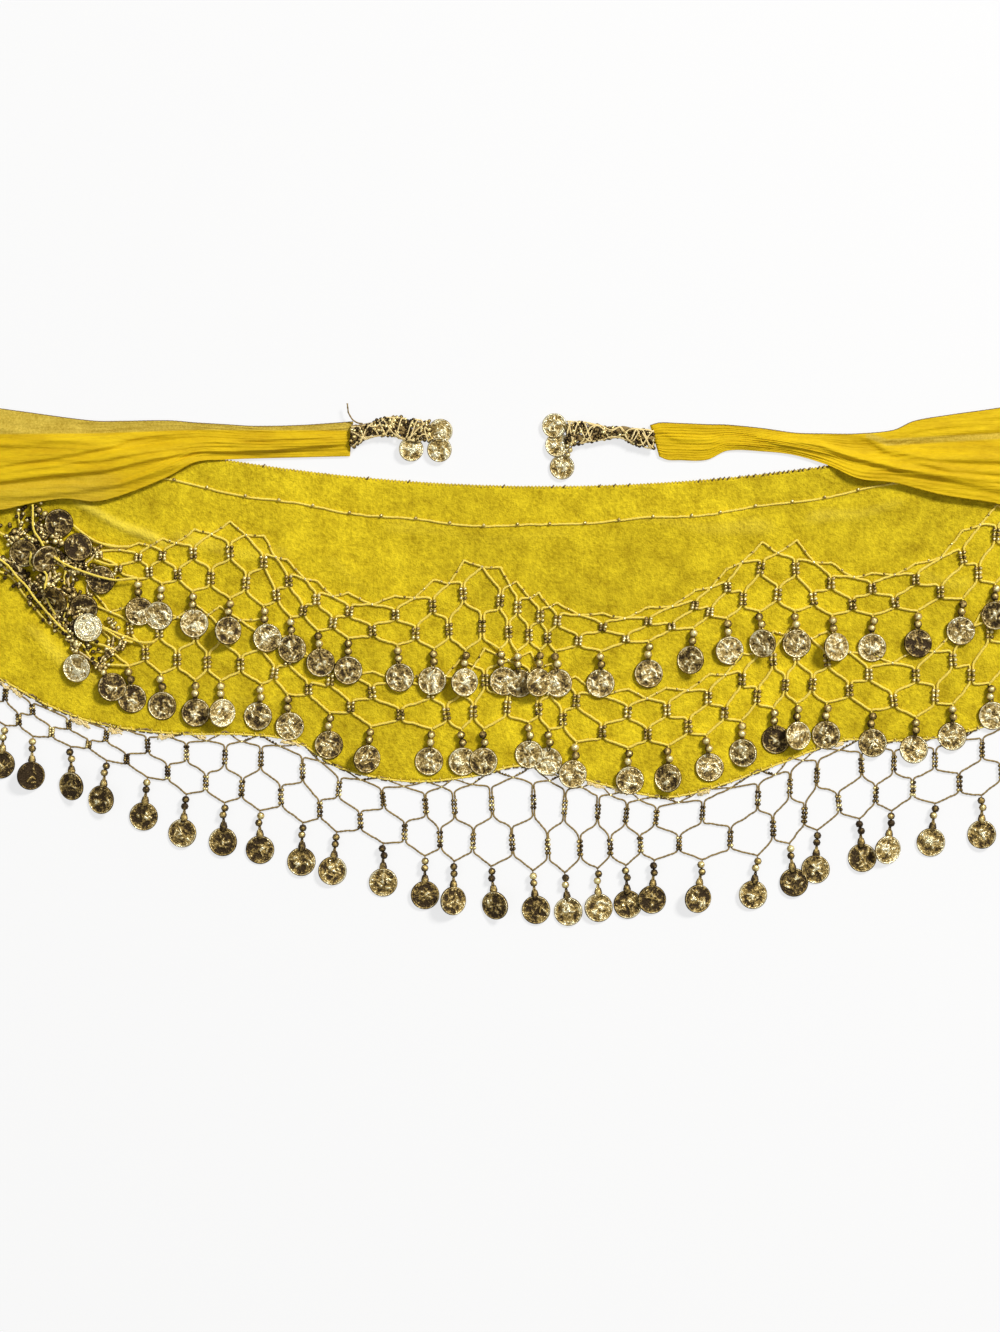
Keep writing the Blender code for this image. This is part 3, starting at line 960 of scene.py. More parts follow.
def hem_path():
    """The cord's path along the hem, on the panel's surface."""
    path = []
    for x in np.arange(-0.449, 0.4491, 0.0022):
        y = hem_line(x) - 0.0002 + 0.0003 * (rng.random() - 0.5)
        path.append((x, y, panel_top(x, y) - 0.0001))
    return path


hem_threads = Collector()
add_thread(hem_threads, hem_path(), CORD_RADIUS)
for x in np.arange(-0.445, 0.446, HEM_STITCH):
    x += 0.0015 * rng.random()
    y = hem_line(x)
    z = panel_top(x, y)
    stitch = [(x - 0.0006, y + 0.0013, z), (x, y, z + 0.0008), (x + 0.0005, y - 0.0012, z - 0.0004)]
    add_thread(hem_threads, stitch, STITCH_RADIUS, sides=4)
hem_cord = hem_threads.piece("hem_cord", thread, "thread")

# %% [markdown]
# ## Couched cord below the waist
#
# A little below the waist runs one cord that is laid on the velvet and held by stitches, with a
# tiny bead at each stitch.

# %% Couched cord
# How far below the waist edge the cord runs: x, distance
WAIST_CORD_INSET = [
    (-0.440, 0.012), (-0.200, 0.018), (-0.150, 0.0195), (0.0, 0.024), (0.060, 0.0215),
    (0.120, 0.0205), (0.220, 0.0175), (0.440, 0.012),
]
cord_inset = smooth_line(WAIST_CORD_INSET)
CORD_BEAD_PITCH = 0.0205
CORD_BEAD_RADIUS = 0.0010
COUCHING_RADIUS = 0.0004


def cord_line(x):
    """The middle of the cord, which sways a little as it was laid by hand."""
    return waist_line(x) - cord_inset(x) + 0.0007 * math.sin(90 * x)


waist_threads = Collector()
waist_beads = Collector()
path = []
for x in np.arange(-0.446, 0.4461, 0.0031):
    y = cord_line(x) + 0.0005 * (rng.random() - 0.5)
    path.append((x, y, panel_top(x, y) + 0.0004))
add_thread(waist_threads, path, CORD_RADIUS)
for x in np.arange(-0.440, 0.441, CORD_BEAD_PITCH):
    x += 0.005 * (rng.random() - 0.5)
    y = cord_line(x)
    z = panel_top(x, y)
    add_bead(waist_beads, (x, y + 0.0006, z + 0.0012), CORD_BEAD_RADIUS, 0.1)
    stitch = [(x - 0.0012, y, z + 0.0006), (x, y + 0.0013, z + 0.0014), (x + 0.0012, y, z + 0.0006)]
    add_thread(waist_threads, stitch, COUCHING_RADIUS, sides=5)
waist_cord = waist_threads.piece("waist_cord_couched", thread, "thread", "waist_cord")
waist_cord_beads = waist_beads.piece("waist_cord_beads", bead_brass, "brass")

# %% [markdown]
# ## Coin places
#
# The coins of a row hang at uneven distances, as they do on hand work. In the middle part each
# place is set by itself, and beyond it the row keeps a steady pitch to the ends of the scarf.

# %% Coin places, in millimetres from the middle
UPPER_COINS = [
    -217.2, -202.2, -184.2, -162.0, -142.2, -126.0, -109.2, -90.6, -61.8, -39.6, -21.0, 0.0,
    10.8, 24.6, 33.6, 60.6, 89.4, 115.8, 136.2, 156.0, 177.0, 199.2, 223.8, 250.2, 277.8, 296.4,
]
MIDDLE_COINS = [
    -222.0, -203.4, -183.0, -167.4, -142.8, -127.2, -102.0, -76.8, -41.4, -22.8, -9.0, 18.0,
    29.4, 46.2, 76.2, 100.8, 124.2, 144.6, 164.4, 178.2, 196.2, 222.0, 249.6, 271.8, 293.4,
]
BOTTOM_COINS = [
    -297.0, -280.2, -258.0, -235.8, -211.2, -188.4, -165.0, -144.0, -118.2, -97.8, -69.6, -44.4,
    -27.0, -5.4, 19.8, 38.4, 58.2, 75.0, 93.0, 121.8, 154.8, 174.0, 190.2, 216.0, 235.2, 261.0,
    289.2,
]


def full_row(coins, left_from=None):
    """Coin places in metres along the whole row, carried on at the steady pitch at both ends."""
    places = [x / 1000 for x in coins]
    x = places[-1] + COIN_PITCH
    while x < NET_END:
        places.append(x)
        x += COIN_PITCH
    x = (left_from if left_from is not None else places[0]) - COIN_PITCH
    while x > -NET_END:
        places.insert(0, x)
        x -= COIN_PITCH
    return places


print("coins placed one by one", len(UPPER_COINS), len(MIDDLE_COINS), len(BOTTOM_COINS))

# %% [markdown]
# ## The beaded nets
#
# A beaded net is one long thread that zigzags. Between two neighbouring columns it drops from a
# knot, runs down one side of a bead cluster, crosses to the next column, runs down the side of its
# cluster and ends in the valley that a coin hangs from. Its neighbour does the same mirrored, so
# each cluster has two threads through it, with three or four beads on each. That is how it is built
# here: the coin places give the columns, and one zigzag is laid between each column and the point
# half way to the next. The net on the hem is finer than the two on the velvet.

# %% Two kinds of net
THREAD_DRIFT = 0.0011


class ClothNet:
    """A net on the velvet: its lines, the height it lies at, and its three collectors.

    Levels are above the valley that a coin hangs from: both ends of the lower and of the upper
    row of links, the knots between them, and the tacks that hold the top.
    """

    levels = {"b_low": 0.0055, "b_high": 0.0165, "a_low": 0.0218, "a_high": 0.0325,
              "knot": 0.0368, "apex": 0.0435}
    thread_radius = 0.00070
    bead_radius = 0.00122
    half_link = 0.00130
    tones = (-0.38, -0.18, 0.0, 0.22)
    low_cluster = (0.00122, (-2, 0, 2))
    high_cluster = low_cluster
    dashed_share = None

    def __init__(self, top, low, rest_height, seed):
        self.top = top
        self.low = low
        self.rest_height = rest_height
        self.rng = np.random.default_rng(seed)
        self.threads = Collector()
        self.beads = Collector()
        self.coins = Collector()

    def settle(self, point):
        """The point moved to the height the net lies at there."""
        return np.array([point[0], point[1], self.rest_height(point[0], point[1])])

    def place(self, x, level, reach):
        """A point of column x at a level, or in the valley, moved a little as by hand."""
        low, top = self.low(x), self.top(x)
        height = self.levels[level] if level else 0.0
        y = low + height * (top - low) / self.levels["apex"]
        shift = (self.rng.random(2) - 0.5) * 2 * reach
        return self.settle((x + shift[0], y + shift[1]))

    def lay(self, points, radius):
        """Lay a thread through points, resting on what is below at every millimetre or so."""
        path, _ = resample(points, THREAD_STEP)
        drift = (self.rng.random((len(path), 2)) - 0.5) * THREAD_DRIFT
        path[1:-1, :2] += drift[1:-1]
        for _ in range(2):
            path[1:-1] = (path[:-2] + 2 * path[1:-1] + path[2:]) / 4
        add_thread(self.threads, [self.settle(point) for point in path], radius)

    def bead_tone(self):
        """A tone for one bead: most are rubbed, some are dark."""
        return float(self.rng.choice(self.tones))


class HemNet(ClothNet):
    """The finer and darker net that hangs from the hem."""

    levels = {"b_low": 0.0050, "b_high": 0.0160, "a_low": 0.0205, "a_high": 0.0335,
              "knot": 0.0358, "apex": 0.0402}
    thread_radius = 0.00056
    bead_radius = 0.00100
    half_link = 0.00085
    tones = (-0.80, -0.65, -0.45, 0.0)
    low_cluster = (0.00118, (-3, -1, 1, 3))
    high_cluster = (0.00108, (-3, -1, 1, 3))
    dashed_share = 0.45


print("beads in a cluster", [2 * len(kind.low_cluster[1]) for kind in (ClothNet, HemNet)])

# %% [markdown]
# ## Clusters and columns
#
# A cluster is beads side by side on the two threads of a link. Every bead and knot is moved by a
# fraction of a millimetre, since a net laid without any drift looks printed.


# %% Clusters and columns
BEAD_DRIFT = 0.0004
VALLEY_DRIFT = 0.0006
LINK_DRIFT = 0.0007
KNOT_DRIFT = 0.0008
DASH_RADIUS = 0.00085
DASH_STEPS = (0.22, 0.36, 0.64, 0.78)


def add_cluster(net, bottom, top, radius, ends):
    """Beads on each of the two threads of a link, at these steps from its middle."""
    axis = top - bottom
    length = np.linalg.norm(axis[:2])
    axis = axis / (length + 1e-9)
    across = np.array([axis[1], -axis[0], 0.0])
    middle = top * 0.46 + bottom * 0.54
    spread = min(radius * 1.10, length * 0.44 / (max(ends) + 1))
    for side in (-1, 1):
        for end in ends:
            shift = across * side * net.half_link + axis * end * spread
            centre = middle + shift + np.append((net.rng.random(2) - 0.5) * BEAD_DRIFT, 0.0)
            add_bead(net.beads, net.settle(centre) + (0, 0, radius * 0.45), radius, net.bead_tone())


def lay_half_cell(net, sign, column, low, high, knot, side):
    """The zigzag between a column and the half way point, and the thread from knot to tack."""
    close = side * 0.45
    upper_middle = (column["high"] + column["low"]) / 2
    lower_middle = (high + low) / 2
    net.lay([knot, column["high"] - sign * close, upper_middle - sign * side,
             column["low"] - sign * close, high + sign * close, lower_middle + sign * side,
             low + sign * close, column["valley"]], net.thread_radius)
    net.lay([knot, (knot + column["apex"]) / 2 + (0, -0.0004, 0), column["apex"]],
            net.thread_radius * 0.85)
    middle = net.settle((knot + column["apex"]) / 2)
    add_bead(net.beads, middle + (0, 0, 0.0004), net.bead_radius * 0.62, net.bead_tone())
    if net.dashed_share and net.rng.random() < net.dashed_share:
        for step in DASH_STEPS:
            dash = net.settle(knot + (column["apex"] - knot) * step)
            add_bead(net.beads, dash, DASH_RADIUS, -0.6)


def build_columns(net, places):
    """The knots, zigzags and clusters between the columns of one net."""
    columns = []
    for x in places:
        lean = 0.0012 * (net.rng.random() - 0.5)
        columns.append({
            "valley": net.place(x, None, VALLEY_DRIFT),
            "low": net.place(x + lean, "a_low", LINK_DRIFT),
            "high": net.place(x + 2 * lean, "a_high", LINK_DRIFT),
            "apex": net.place(x + 2 * lean, "apex", KNOT_DRIFT),
        })
    for i in range(len(places) - 1):
        x = (places[i] + places[i + 1]) / 2
        low = net.place(x, "b_low", LINK_DRIFT)
        high = net.place(x, "b_high", LINK_DRIFT)
        knot = net.place(x, "knot", KNOT_DRIFT)
        side = np.array([min(net.half_link, (places[i + 1] - places[i]) * 0.12), 0.0, 0.0])
        lay_half_cell(net, -1, columns[i], low, high, knot, side)
        lay_half_cell(net, 1, columns[i + 1], low, high, knot, side)
        add_cluster(net, low, high, *net.low_cluster)
        add_bead(net.beads, knot, net.thread_radius * 1.5, 0.3)
    for column in columns:
        add_cluster(net, column["low"], column["high"], *net.high_cluster)
        tack = column["apex"]
        stitch = [tack + (-0.0008, -0.0006, 0), tack + (0, 0.0010, 0), tack + (0.0009, -0.0007, 0)]
        net.lay(stitch, net.thread_radius * 0.8)
    return columns


print("columns are about", COIN_PITCH, "apart")

# %% [markdown]
# ## Coin drops
#
# From each valley hang two round beads, a loop of brass wire and a coin. The coins swing, tip and
# turn by chance, and some are much more tarnished than their neighbours. On the hem a long dark
# bead caps each coin.

# %% Coin drops
COIN_TONES = [0.24, 0.17, 0.10, 0.00, -0.10]
TARNISHED = 0.26
COIN_REACH = 0.0195
SWING = 0.26
TIP = 0.16
ROLL = 0.30
STEEP_SHARE = 0.15
STEEP_ROLL = 0.35
PLAIN_SHARE = 0.02
WIRE_RADIUS = 0.00042
CAP_HALF_WIDTH = 0.0025
CAP_HALF_HEIGHT = 0.0012


def add_drop(net, valley, centre, tip, roll, spin, motif, tone, bead_radius, cap):
    """Two beads, a wire loop and a coin hanging from a valley of the net."""
    reach = centre[:2] - valley[:2]
    length = np.linalg.norm(reach)
    along = np.append(reach / length, 0.0)
    aside = np.array([along[1], -along[0], 0.0])
    swing = math.atan2(reach[0], -reach[1])
    edge = length - COIN_RADIUS - cap
    lift = np.array([0.0, 0.0, bead_radius * 0.5])
    first = net.settle(valley + along * edge * 0.32) + lift
    second = net.settle(valley + along * edge * 0.74) + lift
    wobble = aside * bead_radius * 0.5 * (net.rng.random() - 0.5)
    for bead, shift in ((first, wobble), (second, -wobble)):
        add_bead(net.beads, bead + shift, bead_radius, net.bead_tone())
    base = net.rest_height(centre[0], centre[1]) - net.thread_radius
    add_coin(net.coins, (centre[0], centre[1], base), swing, tip, roll, spin, motif, tone)
    rim = np.array([centre[0], centre[1], base + 0.0018]) - along * COIN_RADIUS
    hole = rim + along * 0.0022
    for side in (-1, 1):
        loop = [second, rim + aside * side * 0.0011, hole + aside * side * 0.0004]
        add_wire(net.beads, loop, WIRE_RADIUS)
    if cap:
        cap_place = rim - along * cap * 0.10 - (0, 0, 0.0006)
        half_sizes = (CAP_HALF_WIDTH, cap * 0.75, CAP_HALF_HEIGHT)
        add_bead(net.beads, cap_place, None, -0.5, half_sizes, swing)
    add_thread(net.threads, [valley, first, second], net.thread_radius * 0.8, sides=5)


def hang_coins(net, places, columns, bead_radius, dark_share, reach=COIN_REACH, cap=0.0):
    """Hang a coin from each column of a net."""
    for x, column in zip(places, columns):
        valley = column["valley"]
        swing = SWING * (net.rng.random() - 0.5)
        centre = valley + (reach * math.sin(swing), -reach * math.cos(swing), 0.0)
        tone = float(net.rng.choice(COIN_TONES)) + 0.06 * net.rng.random()
        if cap:
            tone += -0.30 + 0.22 * ease((x + 0.18) / 0.30)
        if net.rng.random() < dark_share:
            tone -= TARNISHED
        tip = TIP * (net.rng.random() - 0.35)
        roll = ROLL * (net.rng.random() - 0.5)
        if net.rng.random() < STEEP_SHARE:
            roll += math.copysign(STEEP_ROLL, roll)
        spin = 6.28 * net.rng.random()
        motif = int(net.rng.integers(0, PLAIN_DIE)) if net.rng.random() > PLAIN_SHARE else PLAIN_DIE
        add_drop(net, valley, centre, tip, roll, spin, motif, tone, bead_radius, cap)


print("a coin's middle hangs", COIN_REACH, "below its valley on the velvet")

# %% [markdown]
# ## Heights the nets lie at
#
# The middle net lies on the velvet. The upper one lies on the velvet too, and rises where it
# crosses the middle one. The lowest steps down from the hem to the floor.


# %% Heights the nets lie at
def on_panel(x, y):
    """Just on the velvet."""
    return panel_top(x, y) + 0.0007


def over_middle_net(x, y):
    """On the velvet, and up over the middle net where that is."""
    overlap = ease((middle_top(x) + 0.004 - y) / 0.006) * ease((tie_low_edge(x) - y) / 0.006)
    return panel_top(x, y) + 0.0007 + 0.0013 * overlap


def below_hem(x, y):
    """On the velvet above the hem, and down to the floor below it."""
    return 0.0008 + (panel_top(x, y) - 0.0001) * ease((y - hem_line(x) + 0.003) / 0.006)


def edge_top(x):
    """Where the lowest net is sewn to the hem."""
    return hem_line(x) + 0.0008


middle_top = swag_line(MIDDLE_SWAGS)
upper = ClothNet(swag_line(UPPER_SWAGS), smooth_line(UPPER_HEADER), over_middle_net, 11)
middle = ClothNet(middle_top, smooth_line(MIDDLE_HEADER), on_panel, 12)
bottom_low = smooth_line(BOTTOM_HEADER)
bottom = HemNet(edge_top, lambda x: bottom_low(x) + 0.0025, below_hem, 13)
print("in the middle the lowest net starts at y", round(edge_top(0.0), 4))

# %% [markdown]
# ## Laying the nets
#
# The lowest net runs from end to end. On the left, the two upper nets are hidden by the tie or
# gathered in a heap, so they are laid in two stretches, with a gap between that the heap fills.

# %% Nets and their coins
LEFT_EDGE = -0.285
HEM_DROP_BEAD = 0.0024
HEM_DARK_SHARE = 0.30
HEM_COIN_REACH = 0.0235
HEM_CAP = 0.0050
DROP_BEAD = 0.0026
DARK_SHARE = 0.12

bottom_places = full_row(BOTTOM_COINS)
columns = build_columns(bottom, bottom_places)
hang_coins(bottom, bottom_places, columns, HEM_DROP_BEAD, HEM_DARK_SHARE, HEM_COIN_REACH, HEM_CAP)
for net, coins in ((middle, MIDDLE_COINS), (upper, UPPER_COINS)):
    places = full_row(coins, LEFT_EDGE)
    left = [x for x in places if x < LEFT_EDGE]
    right = [x for x in places if x >= LEFT_EDGE]
    hang_coins(net, left, build_columns(net, left), DROP_BEAD, DARK_SHARE)
    columns = build_columns(net, [right[0] - COIN_PITCH, *right])
    hang_coins(net, right, columns[1:], DROP_BEAD, DARK_SHARE)
print("columns in each net", len(bottom_places), len(places))

# %% [markdown]
# ## The gathered corner on the left
#
# On the left the two upper nets have slid together under the tie, and lie in a heap: threads that
# no longer hang straight, beads in bunches, and coins tipped on each other. A simulation would
# give some heap, but not this one, so the few threads, bead clusters and coins of it are listed
# one by one, in millimetres.

# %% Places of the gathered corner
GATHERED_THREADS = [
    [(-279.6, 80), (-279.6, 64), (-274.3, 59), (-273, 54), (-268, 49), (-258, 43), (-244, 38),
     (-231, 34.5), (-217, 36)],
    [(-289, 77), (-288, 68), (-285, 62), (-279, 60)],
    [(-304, 66), (-294, 60), (-286, 59), (-279, 60.5), (-272, 57)],
    [(-286, 58), (-279.6, 53), (-282, 44), (-270, 39), (-273, 30.5), (-270.5, 22), (-266, 14)],
    [(-271, 52), (-262.5, 46.6), (-259, 40), (-262, 35), (-258, 24), (-259.3, 16.6), (-262.5, 11),
     (-260, 4), (-254, -1), (-248.6, -4), (-246.4, -11), (-240, -15.6), (-231, -16), (-222, -16.5)],
    [(-304, 50), (-294.6, 44.4), (-289, 36), (-284, 32.6), (-278.6, 24), (-274, 18.7), (-267, 11),
     (-260, 3.7)],
    [(-300, 40), (-292, 37), (-286, 27), (-279, 19), (-272, 10), (-264, 4), (-257, 0)],
    [(-257, 69), (-248.6, 61.6), (-240, 57), (-230, 54.5), (-222, 55)],
    [(-252, 63), (-244, 58), (-236, 56), (-229, 55)],
    [(-243, 47), (-236, 44), (-229, 44)],
    [(-238, 7), (-230, 3), (-222, 0), (-214, -3), (-207, -2)],
    [(-244, 8), (-236, 6), (-229, 0), (-220, -2.5)],
    [(-246, -2), (-238, -4), (-229, -8)],
]
GATHERED_CLUSTERS = [
    (-287, 64), (-278, 68), (-278, 60), (-292.5, 59), (-277, 52), (-264.6, 60), (-258, 47),
    (-242, 53), (-254, 40), (-277, 34), (-265.7, 36), (-272, 23), (-263.6, 20), (-264, 15),
    (-268, 13), (-257, 0), (-255, -6), (-240, -17), (-283, 47), (-270, 44), (-246, 36),
    (-232, 9.5), (-226, -3), (-234, -9), (-268, 30), (-260, 28), (-284, 56), (-272, 64),
    (-250, 44), (-251, 20), (-247, 25), (-252, 15),
]
# Coins of the corner: centre x, y, where it hangs from x, y, how high it lies, tip, roll, motif, tone
GATHERED_COINS = [
    (-264.0, 69.0, -279.6, 79.0, 1.5, 0.10, 0.15, 0, -0.34),
    (-252.5, 54.5, -272.0, 59.0, 2.2, 0.05, -0.10, 3, -0.36),
    (-239.0, 35.0, -258.0, 43.0, 1.5, -0.05, 0.10, 4, -0.28),
    (-249.0, 18.0, -262.0, 33.0, 1.0, 0.10, 0.25, 1, -0.30),
    (-246.6, 6.5, -259.0, 16.0, 2.6, 0.02, -0.04, 5, 0.62),
    (-253.2, -17.8, -254.0, 1.0, 1.2, 0.10, 0.20, 1, 0.40),
    (-232.2, -29.2, -240.0, -15.6, 1.2, 0.10, -0.15, 1, -0.20),
    (-285.0, 51.0, -290.0, 62.0, 1.0, 0.30, 0.20, 1, -0.25),
    (-272.0, 47.5, -283.0, 52.0, 1.5, 0.75, 0.20, 0, -0.15),
    (-265.5, 23.5, -272.0, 35.0, 1.5, 0.20, 0.80, 1, -0.20),
]
print("laid by hand", len(GATHERED_THREADS), len(GATHERED_CLUSTERS), len(GATHERED_COINS))

# %% [markdown]
# ## Threads of the corner
#
# Each listed line is smoothed, so that it hangs as thread does. Paler threads join each cluster
# to its two nearest, and three rough copies of three of the strands fill the heap.


# %% Threads of the corner
def relaxed(points, step, passes, lift=0.0006):
    """A smooth path through given points, in metres, at the height they lie at."""
    curve, _ = resample([(x / 1000, y / 1000, 0.0) for x, y in points], step)
    curve[1:-1, :2] += (upper.rng.random((len(curve) - 2, 2)) - 0.5) * 0.0008
    for _ in range(passes):
        curve[1:-1] = (curve[:-2] + 2 * curve[1:-1] + curve[2:]) / 4
    high = lift + 0.0016 * upper.rng.random()
    curve[:, 2] = [panel_top(x, y) + high for x, y, _ in curve]
    return curve


CROSSING_OVER = (0, 3, 5)
HIGH_LIFT = 0.0036
LOW_LIFT = 0.0010
HEAP_RADIUS = 0.00068
COPY_RADIUS = 0.00058
COPY_SPREAD = 9
heap_threads = Collector()
dusty_threads = Collector()
for number, points in enumerate(GATHERED_THREADS):
    over = HIGH_LIFT if number in CROSSING_OVER else LOW_LIFT
    add_thread(heap_threads, relaxed(points, 0.0022, 3, over), HEAP_RADIUS)
for _ in range(3):
    for points in GATHERED_THREADS[3:6]:
        shifted = [(x + COPY_SPREAD * (upper.rng.random() - 0.5) + 3,
                    y + COPY_SPREAD * (upper.rng.random() - 0.5)) for x, y in points[:7]]
        add_thread(dusty_threads, relaxed(shifted, 0.0022, 2), COPY_RADIUS)
print("threads of the corner", len(heap_threads.points), len(dusty_threads.points))

# %% [markdown]
# ## Beads and coins of the corner
#
# The clusters lie at all angles, with single beads strewn about them. Each coin lies at its own
# height, tipped on its neighbours, and two beads show on the thread it hangs from.

# %% Beads and coins of the corner
def metres(*millimetres):
    """Millimetres as an array in metres."""
    return np.array(millimetres) / 1000


TIE_UP_RADIUS = 0.00052
CLUSTER_LENGTH = 0.0045
STRAY_BEAD = 0.00135
HEAP_BEAD = 0.00130
HEAP_BEAD_TONES = [-0.95, -0.90, -0.85, -0.80, 0.20]

for x, y in GATHERED_CLUSTERS:
    centre = metres(x, y, 0.0)
    others = sorted(GATHERED_CLUSTERS, key=lambda other: math.dist(other, (x, y)))[1:3]
    for other in others:
        bend = (upper.rng.random(2) - 0.5) * 4
        halfway = ((x + other[0]) / 2 + bend[0], (y + other[1]) / 2 + bend[1])
        add_thread(dusty_threads, relaxed([(x, y), halfway, other], 0.0016, 2), TIE_UP_RADIUS)
    turn = upper.rng.random() * math.pi
    axis = np.array([math.cos(turn), math.sin(turn), 0.0]) * CLUSTER_LENGTH
    lift = np.array([0, 0, 0.0012 * upper.rng.random()])
    add_cluster(upper, centre - axis / 2, centre + axis / 2, *upper.low_cluster)
    for _ in range(3):
        shift = np.append((upper.rng.random(2) - 0.5) * 0.008, 0.0)
        add_bead(upper.beads, upper.settle(centre + shift) + lift, STRAY_BEAD, upper.bead_tone())
for x, y, from_x, from_y, high, tip, roll, motif, tone in GATHERED_COINS:
    centre = metres(x, y, 0.0)
    reach = centre[:2] - metres(from_x, from_y)
    along = np.append(reach / np.linalg.norm(reach), 0.0)
    swing = math.atan2(reach[0], -reach[1])
    base = panel_top(centre[0], centre[1]) + high / 1000
    add_coin(upper.coins, (centre[0], centre[1], base), swing, tip, roll, 0.3, motif, tone)
    for away in (0.0100, 0.0142):
        bead = centre - along * away
        bead[2] = panel_top(bead[0], bead[1]) + 0.0026
        add_bead(upper.beads, bead, 0.0021, upper.bead_tone())
for points in GATHERED_THREADS[:7]:
    for x, y, z in relaxed(points, 0.0021, 1):
        for _ in range(2 if x < -0.235 else 0):
            shift = (upper.rng.random(3) - (0.20, 0.36, 0.5)) * (0.0090, 0.0090, 0.0010)
            tone = float(upper.rng.choice(HEAP_BEAD_TONES))
            add_bead(upper.beads, np.array([x, y, z + 0.0004]) + shift, HEAP_BEAD, tone)
heap = heap_threads.piece("gathered_threads", thread, "thread")
heap_dusty = dusty_threads.piece("gathered_dusty_threads", bunched_thread, "thread")

# %% [markdown]
# ## Bunches on the hem
#
# Here and there the top of the lowest net is bunched up where it is sewn on, and shows as a pale
# tangle of thread below the hem.

# %% Bunches on the hem
# From x to x, in millimetres
HEM_BUNCHES = [(-306, -284), (-263, -247), (-236, -228), (-206, -197), (-182, -178), (-132, -122),
               (24, 32), (52, 60), (66, 76), (118, 124), (196, 204), (262, 268)]
BUNCH_THREADS = 7
BUNCH_RADIUS = 0.00050
bunched = Collector()
for low_x, high_x in HEM_BUNCHES:
    for _ in range(BUNCH_THREADS):
        ends = np.sort(low_x + (high_x - low_x) * upper.rng.random(2))
        path = []
        for x in np.arange(ends[0] / 1000, ends[1] / 1000 + 0.003, 0.0014):
            y = hem_line(x) - 0.0006 - (0.0042 if x < -0.20 else 0.0026) * upper.rng.random()
            path.append((x, y, 0.0008 + 0.0012 * upper.rng.random()))
        if len(path) > 2:
            add_thread(bunched, path, BUNCH_RADIUS, sides=5)
hem_bunches = bunched.piece("hem_bunches", bunched_thread, "thread")

# %% [markdown]
# ## Dark stitches
#
# Dark thread shows under the hem, mostly on the left, and on a stretch of the waist edge on the
# right. Each stitch is a short thread, and chance decides which of them show.

# %% Dark stitches
stitched = Collector()
for x in np.arange(-0.446, 0.446, 0.0052):
    x += 0.002 * upper.rng.random()
    if upper.rng.random() < (0.95 if x < -0.19 else 0.40):
        line = [(x + d, hem_line(x + d) - 0.0011, 0.0008) for d in (0.0, 0.0018, 0.0036)]
        add_thread(stitched, line, BUNCH_RADIUS, sides=5)
for x in np.arange(-0.440, 0.440, 0.0030):
    x += 0.0010 * upper.rng.random()
    if upper.rng.random() < (0.90 if 0.125 < x < 0.205 else 0.12):
        y = waist_line(x) + 0.0001
        line = [(x, y - 0.0008, 0.0016), (x + 0.0006, y, 0.0017), (x + 0.0013, y + 0.0006, 0.0011)]
        add_thread(stitched, line, BUNCH_RADIUS, sides=5)
hem_stitches = stitched.piece("hem_stitches", overlock, "thread")

# %% [markdown]
# ## Pieces of the nets
#
# Each net becomes three pieces, because its thread, beads and coins have three finishes.

# %% Pieces of the nets
net_pieces = [heap, heap_dusty, hem_bunches, hem_stitches]
for name, net, yarn in (("upper", upper, thread), ("middle", middle, thread), ("bottom", bottom, net_thread)):
    net_pieces += [
        net.threads.piece(name + "_net_threads", yarn, "thread", name + "_net"),
        net.beads.piece(name + "_net_beads", bead_brass, "brass"),
        net.coins.piece(name + "_coin_row", coin_brass, "brass", name + "_coins"),
    ]

# %% [markdown]
# ## The chiffon ties
#
# Each tie is a tapering strip of gathered chiffon, sewn to the end of the panel and folded back on
# top of it. Gathered cloth falls in pleats that fan out from the narrow end. A pleat seen from
# above is a ridge with a gentle slope on one side and a steep drop with a shadow on the other, so
# each pleat is a line along the tie with a height, a gentle width above it and a steep one below.

# %% Pleats of the ties
# A pleat: its line (x, y), height, gentle width above it, steep width below it
PLEATS_LEFT = [
    ([(-0.450, 0.150), (-0.300, 0.1205), (-0.2424, 0.1225), (-0.1866, 0.1245), (-0.144, 0.1242),
      (-0.088, 0.1240)], -0.0006, 0.0050, 0.0010),
    ([(-0.450, 0.140), (-0.300, 0.1158), (-0.2616, 0.1186), (-0.2316, 0.1210), (-0.190, 0.1225)],
     0.0014, 0.0022, 0.0030),
    ([(-0.450, 0.130), (-0.300, 0.1034), (-0.2634, 0.1088), (-0.2316, 0.1154), (-0.2184, 0.1202)],
     0.0018, 0.0060, 0.0016),
    ([(-0.450, 0.120), (-0.300, 0.0938), (-0.2676, 0.0980), (-0.2358, 0.1004), (-0.2076, 0.1076),
      (-0.1824, 0.1118), (-0.144, 0.1125), (-0.090, 0.1170)], 0.0022, 0.0055, 0.0015),
    ([(-0.450, 0.112), (-0.300, 0.0850), (-0.2784, 0.0855), (-0.2538, 0.0880), (-0.225, 0.0930),
      (-0.199, 0.1010), (-0.180, 0.1080)], 0.0016, 0.0045, 0.0020),
    ([(-0.450, 0.126), (-0.300, 0.0985), (-0.2676, 0.1030), (-0.2316, 0.1090), (-0.200, 0.1150),
      (-0.170, 0.1180), (-0.100, 0.1205)], 0.0010, 0.0030, 0.0012),
    ([(-0.240, 0.1060), (-0.210, 0.1115), (-0.180, 0.1150), (-0.150, 0.1160)], 0.0009, 0.0020, 0.0008),
]
